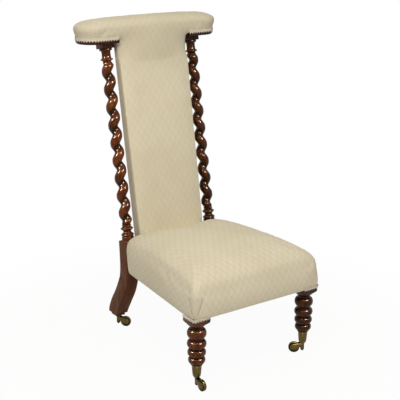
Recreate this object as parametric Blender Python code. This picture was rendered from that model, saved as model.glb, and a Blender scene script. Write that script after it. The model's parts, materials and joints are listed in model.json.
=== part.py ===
"""Prie-dieu chair: a low sprung seat and a tall raked back, whose padded arm rest stands on twist columns.

Metres, +Z up. The chair faces -Y, and the origin is on the floor at the middle of its overall box.
Heights are above the floor. Setbacks are distances behind the axes of the two front legs.
"""
import math

import bmesh
import bpy
from mathutils import Matrix, Vector

# Clearances and mesh quality
FIT_GAP = 0.0003
SIDE_GAP = 0.0004
RUNNING_CLEARANCE = 0.00006
OVERRUN = 0.02
MERGE = 0.00001
SHARP_DEGREES = 35.0
LATHE_STEPS = 16
PIN_STEPS = 12

# Castors: wheel, axle, horn and the cup or plate that holds the pintle
WHEEL_RADIUS = 0.0175
WHEEL_WIDTH = 0.0092
WHEEL_BEVEL = 0.0008
WHEEL_FACETS = 24
WHEEL_HUB_RADIUS = 0.0065
WHEEL_RIM_DEPTH = 0.0034
WHEEL_DISH = 0.0008
CASTOR_TRAIL = 0.026
AXLE_RADIUS = 0.002
AXLE_HEAD_RADIUS = 0.0032
AXLE_HEAD_HEIGHT = 0.0009
HORN_BOSS_RADIUS = 0.00575
HORN_BOSS_BOTTOM = 0.008
HORN_BOSS_BEVEL = 0.0012
HORN_CHEEK_RADIUS = 0.0122
HORN_CHEEK_THICKNESS = 0.0018
HORN_ARM_TOP = 0.0328
HORN_ARM_DEPTH = 0.0115
HORN_ARM_END_DEGREES = (105.0, 205.0)
PINTLE_RADIUS = 0.0025
PINTLE_TIP_HEIGHT = 0.0115
CASTOR_TOP = 0.035
CUP_HEIGHT = 0.028
CUP_MOUTH_RADIUS = 0.015
CUP_BASE_RADIUS = 0.0112
CUP_NECK_RADIUS = 0.0085
CUP_ROUND_HEIGHT = 0.0035
CUP_WALL = 0.0012
PLATE_THICKNESS = 0.0022
PLATE_RADIUS = 0.0135
SPINDLE_RADIUS = 0.004
SPINDLE_LENGTH = 0.024
SWIVEL_DEGREES = {"front_left": -90.0, "front_right": 138.0, "rear_left": -51.0, "rear_right": 160.0}

# Turned front legs
FRONT_LEG_SPACING = 0.404
FRONT_BLOCK_SIDE = 0.057
FRONT_BLOCK_BOTTOM = 0.203
FRONT_COLLAR_HEIGHT = 0.0125
FRONT_COLLAR_RADIUS = 0.0187
FRONT_NECK_RADIUS = 0.0202
FRONT_COVE_RADIUS = 0.0275
BOBBIN_POINTS = 5
BOBBIN_HEIGHT_SHARES = (0.112, 0.297, 0.512, 0.772)
BOBBIN_HALF_HEIGHT_SHARES = (0.075, 0.092, 0.107, 0.125)
BOBBIN_RADIUS_SHARES = (0.886, 0.956, 1.026, 1.035)
COVE_START_SHARE = 0.925
BLOCK_BEVEL = 0.0012
BLOCK_REBATE = 0.006

# Square sabre rear legs, outline as shares of the height and of the sweep back from the top
REAR_LEG_SPACING = 0.318
REAR_LEG_WIDTH = 0.044
REAR_LEG_SETBACK = 0.4367
REAR_LEG_DEPTH = 0.0448
REAR_FOOT_HEIGHT = 0.049
REAR_LEG_TOP = 0.3209
REAR_SWEEP = 0.0745
REAR_EDGE_BEVEL = 0.001
SABRE_BACK_SHARES = ((1.0, 0.0), (0.73, -0.055), (0.6, -0.035), (0.515, 0.046), (0.335, 0.392),
                     (0.2, 0.72), (0.088, 0.93), (0.04, 0.993), (0.0, 1.0))
SABRE_FRONT_SHARES = ((1.0, 0.0), (0.647, -0.02), (0.56, 0.015), (0.471, 0.073), (0.3375, 0.262),
                      (0.2026, 0.56), (0.0506, 0.9), (0.0, 0.99))
TOE_INSET = 0.006
TOE_HEIGHT = 0.009

# Seat frame
RAIL_BOTTOM = 0.2285
RAIL_TOP = 0.283
RAIL_THICKNESS = 0.025
RAIL_SETBACK = 0.008
TENON_LENGTH = 0.016
TENON_THICKNESS = 0.009
TENON_SHOULDER = 0.008

# Seat upholstery
SEAT_UNDERSIDE = 0.2235
SEAT_FRONT_OVERHANG = 0.0325
SEAT_FRONT_PADDING = 0.004
SEAT_SIDE_PADDING = 0.0008
SEAT_REAR_SETBACK = 0.433
SEAT_WALL_HEIGHT = 0.07
SEAT_ROLL_HEIGHT = 0.065
SEAT_CROWN = 0.014
SEAT_CORNER_RADIUS = 0.011
SEAT_RING_SHARES = ((0.0, 0.0), (0.01, 0.29), (0.038, 0.47), (0.085, 0.585), (0.175, 0.69),
                    (0.33, 0.8), (0.55, 0.91), (0.82, 1.0))
SEAT_INSET_SPAN = 0.16
SEAT_CORNER_GROWTH = 0.2
SEAT_EDGE_STEPS = 5
CORNER_STEPS = 3
HESSIAN_THICKNESS = 0.0012
SPRING_HEIGHT = 0.083
SPRING_END_RADIUS = 0.036
SPRING_WAIST_RADIUS = 0.022
SPRING_WIRE_RADIUS = 0.0018
SPRING_TURNS = 4
SPRING_STEPS_PER_TURN = 9
SPRING_WIRE_SIDES = 4
WEBBING_WIDTH = 0.05
WEBBING_THICKNESS = 0.0012
WEBBING_SPACING_SHARE = 0.495
DUST_COVER_THICKNESS = 0.001
LEG_GIMP_HEIGHT = 0.0065
GIMP_THICKNESS = 0.002

# Raked back and twist columns
RAKE_DEGREES = 10.487
PANEL_FRONT_LOW = 0.0195
PANEL_FRONT_HIGH = 0.030
PANEL_REAR_LOW = 0.019
PANEL_REAR_HIGH = -0.0005
PANEL_HALF_WIDTH_LOW = 0.1235
PANEL_HALF_WIDTH_HIGH = 0.1285
PANEL_CORNER_RADIUS = 0.013
PANEL_CROWN = 0.004
PANEL_SIDE_PADDING = 0.004
PANEL_FLARE = 0.0165
PANEL_FLARE_HEIGHT = 0.075
STILE_WIDTH = 0.022
STILE_THICKNESS = 0.0176
BACK_RAIL_HEIGHT = 0.04
BACK_WEBBING_SHARES = (0.25, 0.5, 0.75)
OUTSIDE_COVER_THICKNESS = 0.0015
DOWEL_RADIUS = 0.008
DOWEL_LENGTH = 0.02
COLUMN_RADIUS = 0.0205
COLUMN_FOOT_LENGTH = 0.052
COLUMN_FOOT_SHARES = ((0.2, 0.95), (0.24, 0.83), (0.29, 0.9), (0.354, 1.0), (0.427, 0.85), (0.5, 0.64),
                      (0.575, 0.635), (0.635, 0.76), (0.735, 0.975), (0.81, 0.8), (0.875, 0.63),
                      (0.92, 0.73), (0.955, 0.73), (1.0, 0.6))
COLUMN_HEAD_LENGTH = 0.0399
COLUMN_HEAD_SHARES = ((0.0, 0.6), (0.06, 0.73), (0.16, 0.95), (0.21, 0.95), (0.3, 0.72), (0.4, 0.68),
                      (0.7, 0.68), (0.83, 0.8), (0.93, 0.95), (1.0, 0.95))
TWIST_PITCH = 0.0556
TWIST_CORE_RADIUS = 0.0143
TWIST_OFFSET = 0.0053
TWIST_PHASE_HEIGHT = 0.5578
TWIST_PHASE_DEGREES = -35.45
TWIST_RUN_OUT = 0.014
TWIST_RINGS_PER_TURN = 8
TWIST_SIDES = 10
CAPITAL_SIDE = 0.040
CAPITAL_HEIGHT = 0.0185
CAPITAL_MOULDING = 0.0035

# Arm rest
BOARD_BOTTOM = 0.9325
BOARD_THICKNESS = 0.0115
BOARD_HALF_LENGTH = 0.2475
BOARD_HALF_DEPTH = 0.0525
BOARD_LOWER_ROUND = 0.004
REST_SHIFT = 0.0115
REST_PAD_OVERHANG = 0.0085
REST_PAD_HEIGHT = 0.056
REST_PAD_CROWN = 0.005
REST_PAD_RING_SHARES = ((0.14, 0.0), (0.22, -0.62), (0.4, -1.0), (0.6, -0.85), (0.76, -0.2), (0.88, 1.0),
                        (0.96, 2.8), (1.0, 4.9))
REST_GIMP_HEIGHT = 0.012
REST_GIMP_DROP = 0.005
STADIUM_STEPS = 12

# Places that follow from the sizes above
TAN_RAKE = math.tan(math.radians(RAKE_DEGREES))
REST_REAR_SETBACK = (REAR_LEG_SETBACK + (BOARD_BOTTOM - REAR_LEG_TOP) * TAN_RAKE + REST_SHIFT
                     + BOARD_HALF_DEPTH + REST_PAD_OVERHANG)
FRONT_LEG_Y = (CASTOR_TRAIL + WHEEL_RADIUS - REST_REAR_SETBACK) / 2
FRONT_LEG_X = FRONT_LEG_SPACING / 2
REAR_LEG_X = REAR_LEG_SPACING / 2
SEAT_FRONT_HALF_WIDTH = FRONT_LEG_X + FRONT_BLOCK_SIDE / 2 + SEAT_FRONT_PADDING
SEAT_REAR_HALF_WIDTH = REAR_LEG_X + REAR_LEG_WIDTH / 2 + SEAT_SIDE_PADDING
SEAT_SIDE_END = REAR_LEG_SETBACK - REAR_LEG_DEPTH / 2
WEBBING_SPACING = WEBBING_SPACING_SHARE * SEAT_REAR_HALF_WIDTH
SIDES = {"left": -1, "right": 1}


def behind(setback):
    """The y of a place a given distance behind the front legs."""
    return FRONT_LEG_Y + setback


COLUMN_FOOT_Y = behind(REAR_LEG_SETBACK)
REAR_CASTOR_Y = COLUMN_FOOT_Y + REAR_SWEEP


def column_y(height):
    """The y of the raked column axis at a height."""
    return COLUMN_FOOT_Y + (height - REAR_LEG_TOP) * TAN_RAKE


def up_the_back(low, high, height):
    """A size that changes evenly from the seat frame up to the arm rest."""
    share = (height - RAIL_TOP) / (BOARD_BOTTOM - RAIL_TOP)
    return low + share * (high - low)


def panel_half_width(height):
    """Half the width of the upholstered back, which widens a little towards the arm rest."""
    return up_the_back(PANEL_HALF_WIDTH_LOW, PANEL_HALF_WIDTH_HIGH, height)


def panel_front(height):
    """The y of the back's front at a height, before its flare and its crown."""
    return column_y(height) - up_the_back(PANEL_FRONT_LOW, PANEL_FRONT_HIGH, height)


def panel_rear(height):
    """The y of the back's flat rear at a height."""
    return column_y(height) + up_the_back(PANEL_REAR_LOW, PANEL_REAR_HIGH, height)


def clear_scene():
    """Remove every object the file opened with."""
    for old in list(bpy.data.objects):
        bpy.data.objects.remove(old, do_unlink=True)


def make_material(name, colour, roughness, metallic=0.0):
    """A Principled material of one colour."""
    material = bpy.data.materials.new(name)
    material.use_nodes = True
    shader = material.node_tree.nodes["Principled BSDF"]
    shader.inputs["Base Color"].default_value = (*colour, 1.0)
    shader.inputs["Roughness"].default_value = roughness
    shader.inputs["Metallic"].default_value = metallic
    return material


def tidy(form):
    """Weld the doubled points of a bmesh and turn its faces outward."""
    bmesh.ops.remove_doubles(form, verts=form.verts, dist=MERGE)
    bmesh.ops.recalc_face_normals(form, faces=form.faces)
    return form


def mesh_from(name, form):
    """Hand a bmesh over to a new mesh, with its round faces shaded smooth."""
    mesh = bpy.data.meshes.new(name)
    tidy(form).to_mesh(mesh)
    form.free()
    mesh.shade_smooth()
    mesh.set_sharp_from_angle(angle=math.radians(SHARP_DEGREES))
    return mesh


def place(name, mesh, material, location=(0, 0, 0), turn=(0, 0, 0), parent=None):
    """Link an object of the mesh, with its own material slot, at a place under a parent."""
    piece = bpy.data.objects.new(name, mesh)
    if not mesh.materials:
        mesh.materials.append(material)
    piece.location = location
    piece.rotation_euler = turn
    piece.parent = parent
    bpy.context.collection.objects.link(piece)
    return piece


def combine(form, other, operation):
    """Join a bmesh with another or cut it by another, with the exact Boolean solver."""
    body = bpy.data.objects.new("body", mesh_from("body", form))
    guide = bpy.data.objects.new("guide", mesh_from("guide", other))
    for helper in (body, guide):
        bpy.context.collection.objects.link(helper)
    step = body.modifiers.new("combine", "BOOLEAN")
    step.operation = operation
    step.solver = "EXACT"
    step.object = guide
    bpy.context.view_layer.update()
    result_mesh = bpy.data.meshes.new_from_object(body.evaluated_get(bpy.context.evaluated_depsgraph_get()))
    result = bmesh.new()
    result.from_mesh(result_mesh)
    for helper in (body, guide):
        bpy.data.objects.remove(helper, do_unlink=True)
    bpy.data.meshes.remove(result_mesh)
    return result


def join(form, other):
    """Union of two forms."""
    return combine(form, other, "UNION")


def cut(form, other):
    """A form with another cut out of it."""
    return combine(form, other, "DIFFERENCE")


def loft(rings):
    """Skin a row of rings that have equally many points, and close both ends."""
    form = bmesh.new()
    rows = [[form.verts.new(point) for point in ring] for ring in rings]
    for low, high in zip(rows, rows[1:]):
        for i, here in enumerate(low):
            j = (i + 1) % len(low)
            form.faces.new((here, low[j], high[j], high[i]))
    form.faces.new(rows[0][::-1])
    form.faces.new(rows[-1])
    return form


def turned(profile, steps=LATHE_STEPS, bored=False, start=0.0):
    """Spin a profile of (radius, height) points about Z. A bored profile closes on itself."""
    form = bmesh.new()
    turn = Matrix.Rotation(start, 3, "Z")
    points = [form.verts.new(turn @ Vector((radius, 0, height))) for radius, height in profile]
    edges = [form.edges.new(pair) for pair in zip(points, points[1:])]
    if bored:
        edges.append(form.edges.new((points[-1], points[0])))
    bmesh.ops.spin(form, geom=points + edges, cent=(0, 0, 0), axis=(0, 0, 1), angle=math.tau,
                   steps=steps, use_merge=True)
    return tidy(form)


def prism(outline, low, high, point):
    """Extrude an outline from low to high. point(a, b, c) says where outline point (a, b) lies at c."""
    return loft([[point(a, b, c) for a, b in outline] for c in (low, high)])


def box(low, high):
    """A box between two corners."""
    corners = ((low[0], low[1]), (high[0], low[1]), (high[0], high[1]), (low[0], high[1]))
    return prism(corners, low[2], high[2], lambda x, y, z: (x, y, z))


def around(radius, steps):
    """Corner radius of a faceted bore that a pin of the given radius turns in."""
    return (radius + RUNNING_CLEARANCE) / math.cos(math.pi / steps)


def cylinder(radius, low, high, steps=PIN_STEPS):
    """A plain cylinder about Z."""
    return turned(((0, low), (radius, low), (radius, high), (0, high)), steps)


def moved(form, matrix):
    """The same form after a move or a turn."""
    form.transform(matrix)
    return form


def rounded_outline(corners, radius, arc_steps, edge_steps):
    """Fillet each corner of a convex outline, with points spread along its straight edges."""
    count = len(corners)
    arcs = []
    for i, corner in enumerate(corners):
        here = Vector(corner)
        before = (Vector(corners[i - 1]) - here).normalized()
        after = (Vector(corners[(i + 1) % count]) - here).normalized()
        half_angle = before.angle(after) / 2
        middle = here + (before + after).normalized() * radius / math.sin(half_angle)
        start = here + before * radius / math.tan(half_angle) - middle
        sweep = before.cross(after)
        turn = math.copysign(math.pi - 2 * half_angle, -sweep)
        arcs.append([middle + Matrix.Rotation(turn * k / arc_steps, 2) @ start for k in range(arc_steps + 1)])
    points = []
    for i, arc in enumerate(arcs):
        onward = arcs[(i + 1) % count][0]
        points += arc
        points += [arc[-1].lerp(onward, k / edge_steps) for k in range(1, edge_steps)]
    return points


def stadium(half_length, half_depth, middle_y):
    """A long outline along X with half-round ends."""
    points = []
    for side in (1, -1):
        for k in range(STADIUM_STEPS + 1):
            angle = math.pi * (k / STADIUM_STEPS - 0.5)
            x = side * (half_length - half_depth + half_depth * math.cos(angle))
            points.append((x, middle_y + side * half_depth * math.sin(angle)))
    return points


def smooth_step(share):
    """A share that eases in and out between 0 and 1."""
    share = min(max(share, 0), 1)
    return share * share * (3 - 2 * share)


def wheel_mesh():
    """A brass wheel about its own Y axis, faceted so that it stands still, with a flat at the bottom."""
    half = WHEEL_WIDTH / 2
    corner_radius = WHEEL_RADIUS / math.cos(math.pi / WHEEL_FACETS)
    rim_inner = WHEEL_RADIUS - WHEEL_RIM_DEPTH
    bore = around(AXLE_RADIUS, WHEEL_FACETS)
    face = half - WHEEL_DISH
    side = [(bore, half), (WHEEL_HUB_RADIUS, half), (WHEEL_HUB_RADIUS + WHEEL_DISH, face),
            (rim_inner, half), (corner_radius - WHEEL_BEVEL, half), (corner_radius, half - WHEEL_BEVEL)]
    profile = side + [(radius, -height) for radius, height in reversed(side)]
    form = turned(profile, WHEEL_FACETS, bored=True, start=math.pi / WHEEL_FACETS)
    return mesh_from("castor_wheel", moved(form, Matrix.Rotation(math.pi / 2, 4, "X")))


def axle_mesh():
    """A riveted pin through both cheeks of the horn, about its own Y axis."""
    shank = WHEEL_WIDTH / 2 + SIDE_GAP + HORN_CHEEK_THICKNESS + FIT_GAP
    head = shank + AXLE_HEAD_HEIGHT
    profile = ((0, -head), (AXLE_HEAD_RADIUS, -head), (AXLE_HEAD_RADIUS, -shank), (AXLE_RADIUS, -shank),
               (AXLE_RADIUS, shank), (AXLE_HEAD_RADIUS, shank), (AXLE_HEAD_RADIUS, head), (0, head))
    form = turned(profile, PIN_STEPS)
    return mesh_from("castor_axle", moved(form, Matrix.Rotation(math.pi / 2, 4, "X")))


def horn_mesh():
    """The horn: a bored boss about the pintle, with two round cheeks trailing along +X to the axle."""
    boss_top = CASTOR_TOP - FIT_GAP
    boss = turned(((0, HORN_BOSS_BOTTOM), (HORN_BOSS_RADIUS - HORN_BOSS_BEVEL, HORN_BOSS_BOTTOM),
                   (HORN_BOSS_RADIUS, HORN_BOSS_BOTTOM + HORN_BOSS_BEVEL), (HORN_BOSS_RADIUS, boss_top),
                   (0, boss_top)))
    first, last = (math.radians(angle) for angle in HORN_ARM_END_DEGREES)
    outline = [(0, HORN_ARM_TOP)]
    for k in range(LATHE_STEPS + 1):
        angle = first - (math.tau - last + first) * k / LATHE_STEPS
        outline.append((CASTOR_TRAIL + HORN_CHEEK_RADIUS * math.cos(angle),
                        WHEEL_RADIUS + HORN_CHEEK_RADIUS * math.sin(angle)))
    outline.append((0, HORN_ARM_TOP - HORN_ARM_DEPTH))
    inner = WHEEL_WIDTH / 2 + SIDE_GAP
    for side in (1, -1):
        cheek = prism(outline, side * inner, side * (inner + HORN_CHEEK_THICKNESS), lambda x, z, y: (x, y, z))
        boss = join(boss, cheek)
    bore = around(PINTLE_RADIUS, LATHE_STEPS)
    socket = cylinder(bore, PINTLE_TIP_HEIGHT - FIT_GAP, boss_top + OVERRUN, LATHE_STEPS)
    axle_bore = cylinder(AXLE_RADIUS + FIT_GAP, -OVERRUN, OVERRUN)
    lie = Matrix.Translation((CASTOR_TRAIL, 0, WHEEL_RADIUS)) @ Matrix.Rotation(math.pi / 2, 4, "X")
    return mesh_from("castor_horn", cut(cut(boss, socket), moved(axle_bore, lie)))


def cup_mesh():
    """The brass cup that holds a front leg's toe, with the pintle under it."""
    rim = CASTOR_TOP + CUP_HEIGHT
    shoulder = CASTOR_TOP + CUP_ROUND_HEIGHT
    floor = shoulder + CUP_WALL
    profile = ((0, floor), (CUP_BASE_RADIUS - CUP_WALL, floor), (CUP_MOUTH_RADIUS - CUP_WALL, rim),
               (CUP_MOUTH_RADIUS, rim), (CUP_BASE_RADIUS, shoulder), (CUP_NECK_RADIUS, CASTOR_TOP),
               (PINTLE_RADIUS, CASTOR_TOP), (PINTLE_RADIUS, PINTLE_TIP_HEIGHT), (0, PINTLE_TIP_HEIGHT))
    return mesh_from("front_castor_cup", turned(profile))


def plate_mesh():
    """The rear castor's round plate, with a screw spindle above it and the pintle under it."""
    plate_top = REAR_FOOT_HEIGHT - TOE_HEIGHT - FIT_GAP
    plate_low = plate_top - PLATE_THICKNESS
    tip = plate_top + SPINDLE_LENGTH
    profile = ((0, tip), (SPINDLE_RADIUS / 2, tip), (SPINDLE_RADIUS, tip - SPINDLE_RADIUS),
               (SPINDLE_RADIUS, plate_top), (PLATE_RADIUS, plate_top), (PLATE_RADIUS, plate_low),
               (CUP_NECK_RADIUS, plate_low), (CUP_NECK_RADIUS, CASTOR_TOP), (PINTLE_RADIUS, CASTOR_TOP),
               (PINTLE_RADIUS, PINTLE_TIP_HEIGHT), (0, PINTLE_TIP_HEIGHT))
    return mesh_from("rear_castor_plate", turned(profile))


def build_castors(brass):
    """Four castors. Each has an empty on its swivel axis and its wheel's origin on the axle."""
    cup, plate, horn, wheel, axle = cup_mesh(), plate_mesh(), horn_mesh(), wheel_mesh(), axle_mesh()
    for corner, degrees in SWIVEL_DEGREES.items():
        end, side = corner.split("_")
        front = end == "front"
        pivot_x = SIDES[side] * (FRONT_LEG_X if front else REAR_LEG_X)
        pivot_y = FRONT_LEG_Y if front else REAR_CASTOR_Y
        holder = "castor_cup_" if front else "castor_plate_"
        place(holder + corner, cup if front else plate, brass, (pivot_x, pivot_y, 0))
        swivel = bpy.data.objects.new("castor_swivel_" + corner, None)
        swivel.location = (pivot_x, pivot_y, 0)
        swivel.rotation_euler = (0, 0, math.radians(degrees))
        bpy.context.collection.objects.link(swivel)
        hub = (CASTOR_TRAIL, 0, WHEEL_RADIUS)
        place("castor_horn_" + corner, horn, brass, parent=swivel)
        place("castor_wheel_" + corner, wheel, brass, hub, parent=swivel)
        place("castor_axle_" + corner, axle, brass, hub, parent=swivel)


def front_leg_profile():
    """Toe in the cup, collar, four bobbins that grow upward, and a cove under the square block."""
    toe_low = CASTOR_TOP + CUP_ROUND_HEIGHT + CUP_WALL + FIT_GAP
    rim = CASTOR_TOP + CUP_HEIGHT
    wall = CUP_WALL + FIT_GAP
    collar_low = rim + FIT_GAP
    collar_high = collar_low + FRONT_COLLAR_HEIGHT
    span = FRONT_BLOCK_BOTTOM - collar_high
    profile = [(0, toe_low), (CUP_BASE_RADIUS - wall, toe_low), (CUP_MOUTH_RADIUS - wall, rim),
               (CUP_MOUTH_RADIUS - wall, collar_low), (CUP_MOUTH_RADIUS, collar_low),
               (FRONT_COLLAR_RADIUS, collar_low + FRONT_COLLAR_HEIGHT / 4),
               (FRONT_COLLAR_RADIUS, collar_high - FRONT_COLLAR_HEIGHT / 4)]
    for height, half, radius in zip(BOBBIN_HEIGHT_SHARES, BOBBIN_HALF_HEIGHT_SHARES, BOBBIN_RADIUS_SHARES):
        swell = radius * FRONT_BLOCK_SIDE / 2 - FRONT_NECK_RADIUS
        for k in range(BOBBIN_POINTS + 1):
            angle = math.pi * (k / BOBBIN_POINTS - 0.5)
            profile.append((FRONT_NECK_RADIUS + swell * math.cos(angle),
                            collar_high + span * (height + half * math.sin(angle))))
    profile += [(FRONT_NECK_RADIUS, collar_high + span * COVE_START_SHARE),
                (FRONT_COVE_RADIUS, FRONT_BLOCK_BOTTOM), (FRONT_COVE_RADIUS, FRONT_BLOCK_BOTTOM + BLOCK_BEVEL * 2),
                (0, FRONT_BLOCK_BOTTOM + BLOCK_BEVEL * 2)]
    return profile


def bevelled_block(side, low, high, bevel):
    """A square block about Z with its edges taken off."""
    half = side / 2
    rings = []
    for inset, height in ((bevel, low), (0, low + bevel), (0, high - bevel), (bevel, high)):
        reach = half - inset
        corners = ((reach, reach), (-reach, reach), (-reach, -reach), (reach, -reach))
        rings.append([(*point, height) for point in rounded_outline(corners, bevel, 1, 1)])
    return loft(rings)


def rail_rings(start, end, across, thickness, low, high):
    """Two rectangular sections of a rail, at its start and end, whose faces run along across."""
    rings = []
    for station in (start, end):
        middle = Vector((*station, 0))
        side = Vector((*across, 0)) * thickness / 2
        rings.append([middle - side + Vector((0, 0, low)), middle + side + Vector((0, 0, low)),
                      middle + side + Vector((0, 0, high)), middle - side + Vector((0, 0, high))])
    return rings


def tenon_rings(shoulder, outward, across, grow, inward):
    """Sections of one tenon, from inside its shoulder to its tip, grown by a clearance for a mortise."""
    tip = Vector(shoulder) + Vector(outward) * (TENON_LENGTH + grow)
    root = Vector(shoulder) - Vector(outward) * inward
    return rail_rings(root, tip, across, TENON_THICKNESS + 2 * grow,
                      RAIL_BOTTOM + TENON_SHOULDER - grow, RAIL_TOP - TENON_SHOULDER + grow)


def seat_rails():
    """Name to (start, end, direction across) of each rail, between the faces it butts on."""
    block = FRONT_BLOCK_SIDE / 2
    front_y = FRONT_LEG_Y - block + RAIL_SETBACK + RAIL_THICKNESS / 2
    rear_y = rear_rail_front() + RAIL_THICKNESS / 2
    block_x = FRONT_LEG_X - block - FIT_GAP
    leg_x = REAR_LEG_X - REAR_LEG_WIDTH / 2 - FIT_GAP
    rails = {"front_seat_rail": ((-block_x, front_y), (block_x, front_y), (0, 1)),
             "rear_seat_rail": ((-leg_x, rear_y), (leg_x, rear_y), (0, 1))}
    side_front_x = FRONT_LEG_X + block - RAIL_SETBACK - RAIL_THICKNESS / 2
    side_rear_x = SEAT_REAR_HALF_WIDTH - RAIL_SETBACK - RAIL_THICKNESS / 2
    for name, side in SIDES.items():
        rails["side_seat_rail_" + name] = ((side * side_front_x, FRONT_LEG_Y + block + FIT_GAP),
                                           (side * side_rear_x, rear_leg_front_y() - FIT_GAP), (1, 0))
    return rails


def rear_rail_front():
    """The y of the rear rail's front face. Its rear face is flush with the back that stands on it."""
    return panel_rear(RAIL_TOP) - RAIL_THICKNESS


def rear_leg_front_y():
    """The foremost y of a rear leg beside the seat rails."""
    return COLUMN_FOOT_Y - REAR_LEG_DEPTH / 2 + min(share for _, share in SABRE_FRONT_SHARES) * REAR_SWEEP


def rail_mortises():
    """One cutter for every tenon, each with the point on the shoulder that says which leg it enters."""
    cutters = []
    for start, end, across in seat_rails().values():
        along = (Vector(end) - Vector(start)).normalized()
        for shoulder, outward in ((start, -along), (end, along)):
            cutters.append((shoulder, tenon_rings(shoulder, outward, across, FIT_GAP, FIT_GAP * 2)))
    return cutters


def build_seat_rails(beech):
    """Four rails with a stub tenon on each end."""
    for name, (start, end, across) in seat_rails().items():
        along = (Vector(end) - Vector(start)).normalized()
        rings = tenon_rings(start, -along, across, 0, 0)[::-1]
        rings += rail_rings(start, end, across, RAIL_THICKNESS, RAIL_BOTTOM, RAIL_TOP)
        rings += tenon_rings(end, along, across, 0, 0)
        place(name, mesh_from(name, loft(rings)), beech)


def cut_mortises(form, origin):
    """Cut every mortise whose tenon enters the leg that stands at origin."""
    for shoulder, rings in rail_mortises():
        reach = Vector(shoulder) - Vector(origin)
        if max(abs(reach.x), abs(reach.y)) < FRONT_BLOCK_SIDE:
            form = cut(form, loft(rings))
    return form


def build_front_legs(walnut):
    """Turned legs whose square blocks, rebated for the cover, hold the tenons of two rails each."""
    half = FRONT_BLOCK_SIDE / 2
    inner = half - BLOCK_REBATE
    for name, side in SIDES.items():
        form = bevelled_block(FRONT_BLOCK_SIDE, FRONT_BLOCK_BOTTOM, RAIL_TOP, BLOCK_BEVEL)
        over = RAIL_TOP + OVERRUN
        form = cut(form, box((-half - OVERRUN, -half - OVERRUN, SEAT_UNDERSIDE), (half + OVERRUN, -inner, over)))
        outside = sorted((side * inner, side * (half + OVERRUN)))
        form = cut(form, box((outside[0], -half - OVERRUN * 2, SEAT_UNDERSIDE),
                             (outside[1], half + OVERRUN, over + OVERRUN)))
        form = join(form, turned(front_leg_profile()))
        form = moved(form, Matrix.Translation((side * FRONT_LEG_X, FRONT_LEG_Y, 0)))
        form = cut_mortises(form, (side * FRONT_LEG_X, FRONT_LEG_Y))
        place("front_leg_" + name, mesh_from("front_leg_" + name, form), walnut)


def sabre_outline():
    """Side view of a rear leg as (y, z) points: down the back edge and up the front edge."""
    rise = REAR_LEG_TOP - REAR_FOOT_HEIGHT
    half = REAR_LEG_DEPTH / 2
    outline = []
    for edge, shares in ((half, SABRE_BACK_SHARES), (-half, SABRE_FRONT_SHARES[::-1])):
        for height_share, sweep_share in shares:
            y = COLUMN_FOOT_Y + edge + sweep_share * REAR_SWEEP
            z = REAR_FOOT_HEIGHT + height_share * rise
            if height_share == 1:
                z -= edge * TAN_RAKE
            outline.append((y, z))
    return outline


def build_rear_legs(walnut):
    """Sabre legs with a stepped toe, a dowel hole on top and mortises for the seat rails."""
    rake = Matrix.Rotation(-math.radians(RAKE_DEGREES), 4, "X")
    for name, side in SIDES.items():
        x = side * REAR_LEG_X
        form = prism(sabre_outline(), x - REAR_LEG_WIDTH / 2, x + REAR_LEG_WIDTH / 2, lambda y, z, c: (c, y, z))
        bmesh.ops.bevel(tidy(form), geom=form.edges[:], offset=REAR_EDGE_BEVEL, segments=1, affect="EDGES")
        half_x = REAR_LEG_WIDTH / 2 - TOE_INSET
        half_y = REAR_LEG_DEPTH / 2 - TOE_INSET
        toe = box((x - half_x, REAR_CASTOR_Y - half_y, REAR_FOOT_HEIGHT - TOE_HEIGHT),
                  (x + half_x, REAR_CASTOR_Y + half_y, REAR_FOOT_HEIGHT + TOE_HEIGHT))
        form = join(form, toe)
        spindle = cylinder(SPINDLE_RADIUS + FIT_GAP, REAR_FOOT_HEIGHT - TOE_HEIGHT - OVERRUN,
                           REAR_FOOT_HEIGHT - TOE_HEIGHT + SPINDLE_LENGTH + FIT_GAP, LATHE_STEPS)
        form = cut(form, moved(spindle, Matrix.Translation((x, REAR_CASTOR_Y, 0))))
        dowel = cylinder(DOWEL_RADIUS + FIT_GAP, -DOWEL_LENGTH - FIT_GAP, OVERRUN)
        form = cut(form, moved(dowel, Matrix.Translation((x, COLUMN_FOOT_Y, REAR_LEG_TOP)) @ rake))
        form = cut_mortises(form, (x, COLUMN_FOOT_Y))
        place("rear_leg_" + name, mesh_from("rear_leg_" + name, form), walnut)


def twist_radius(angle, height, side, amount):
    """Radius of the single bine in a direction at a height: a circle set off the axis, turning with height."""
    turns = (height - TWIST_PHASE_HEIGHT) / TWIST_PITCH
    bine = math.radians(TWIST_PHASE_DEGREES) + math.tau * turns
    if side > 0:
        bine = math.pi - bine
    swing = angle - bine
    offset = TWIST_OFFSET * amount
    return offset * math.cos(swing) + math.sqrt(TWIST_CORE_RADIUS ** 2 - (offset * math.sin(swing)) ** 2)


def column_length():
    """Length along the axis from the leg's top to the underside of the capital block."""
    rise = BOARD_BOTTOM - REAR_LEG_TOP
    return rise / math.cos(math.radians(RAKE_DEGREES)) - CAPITAL_HEIGHT


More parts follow.
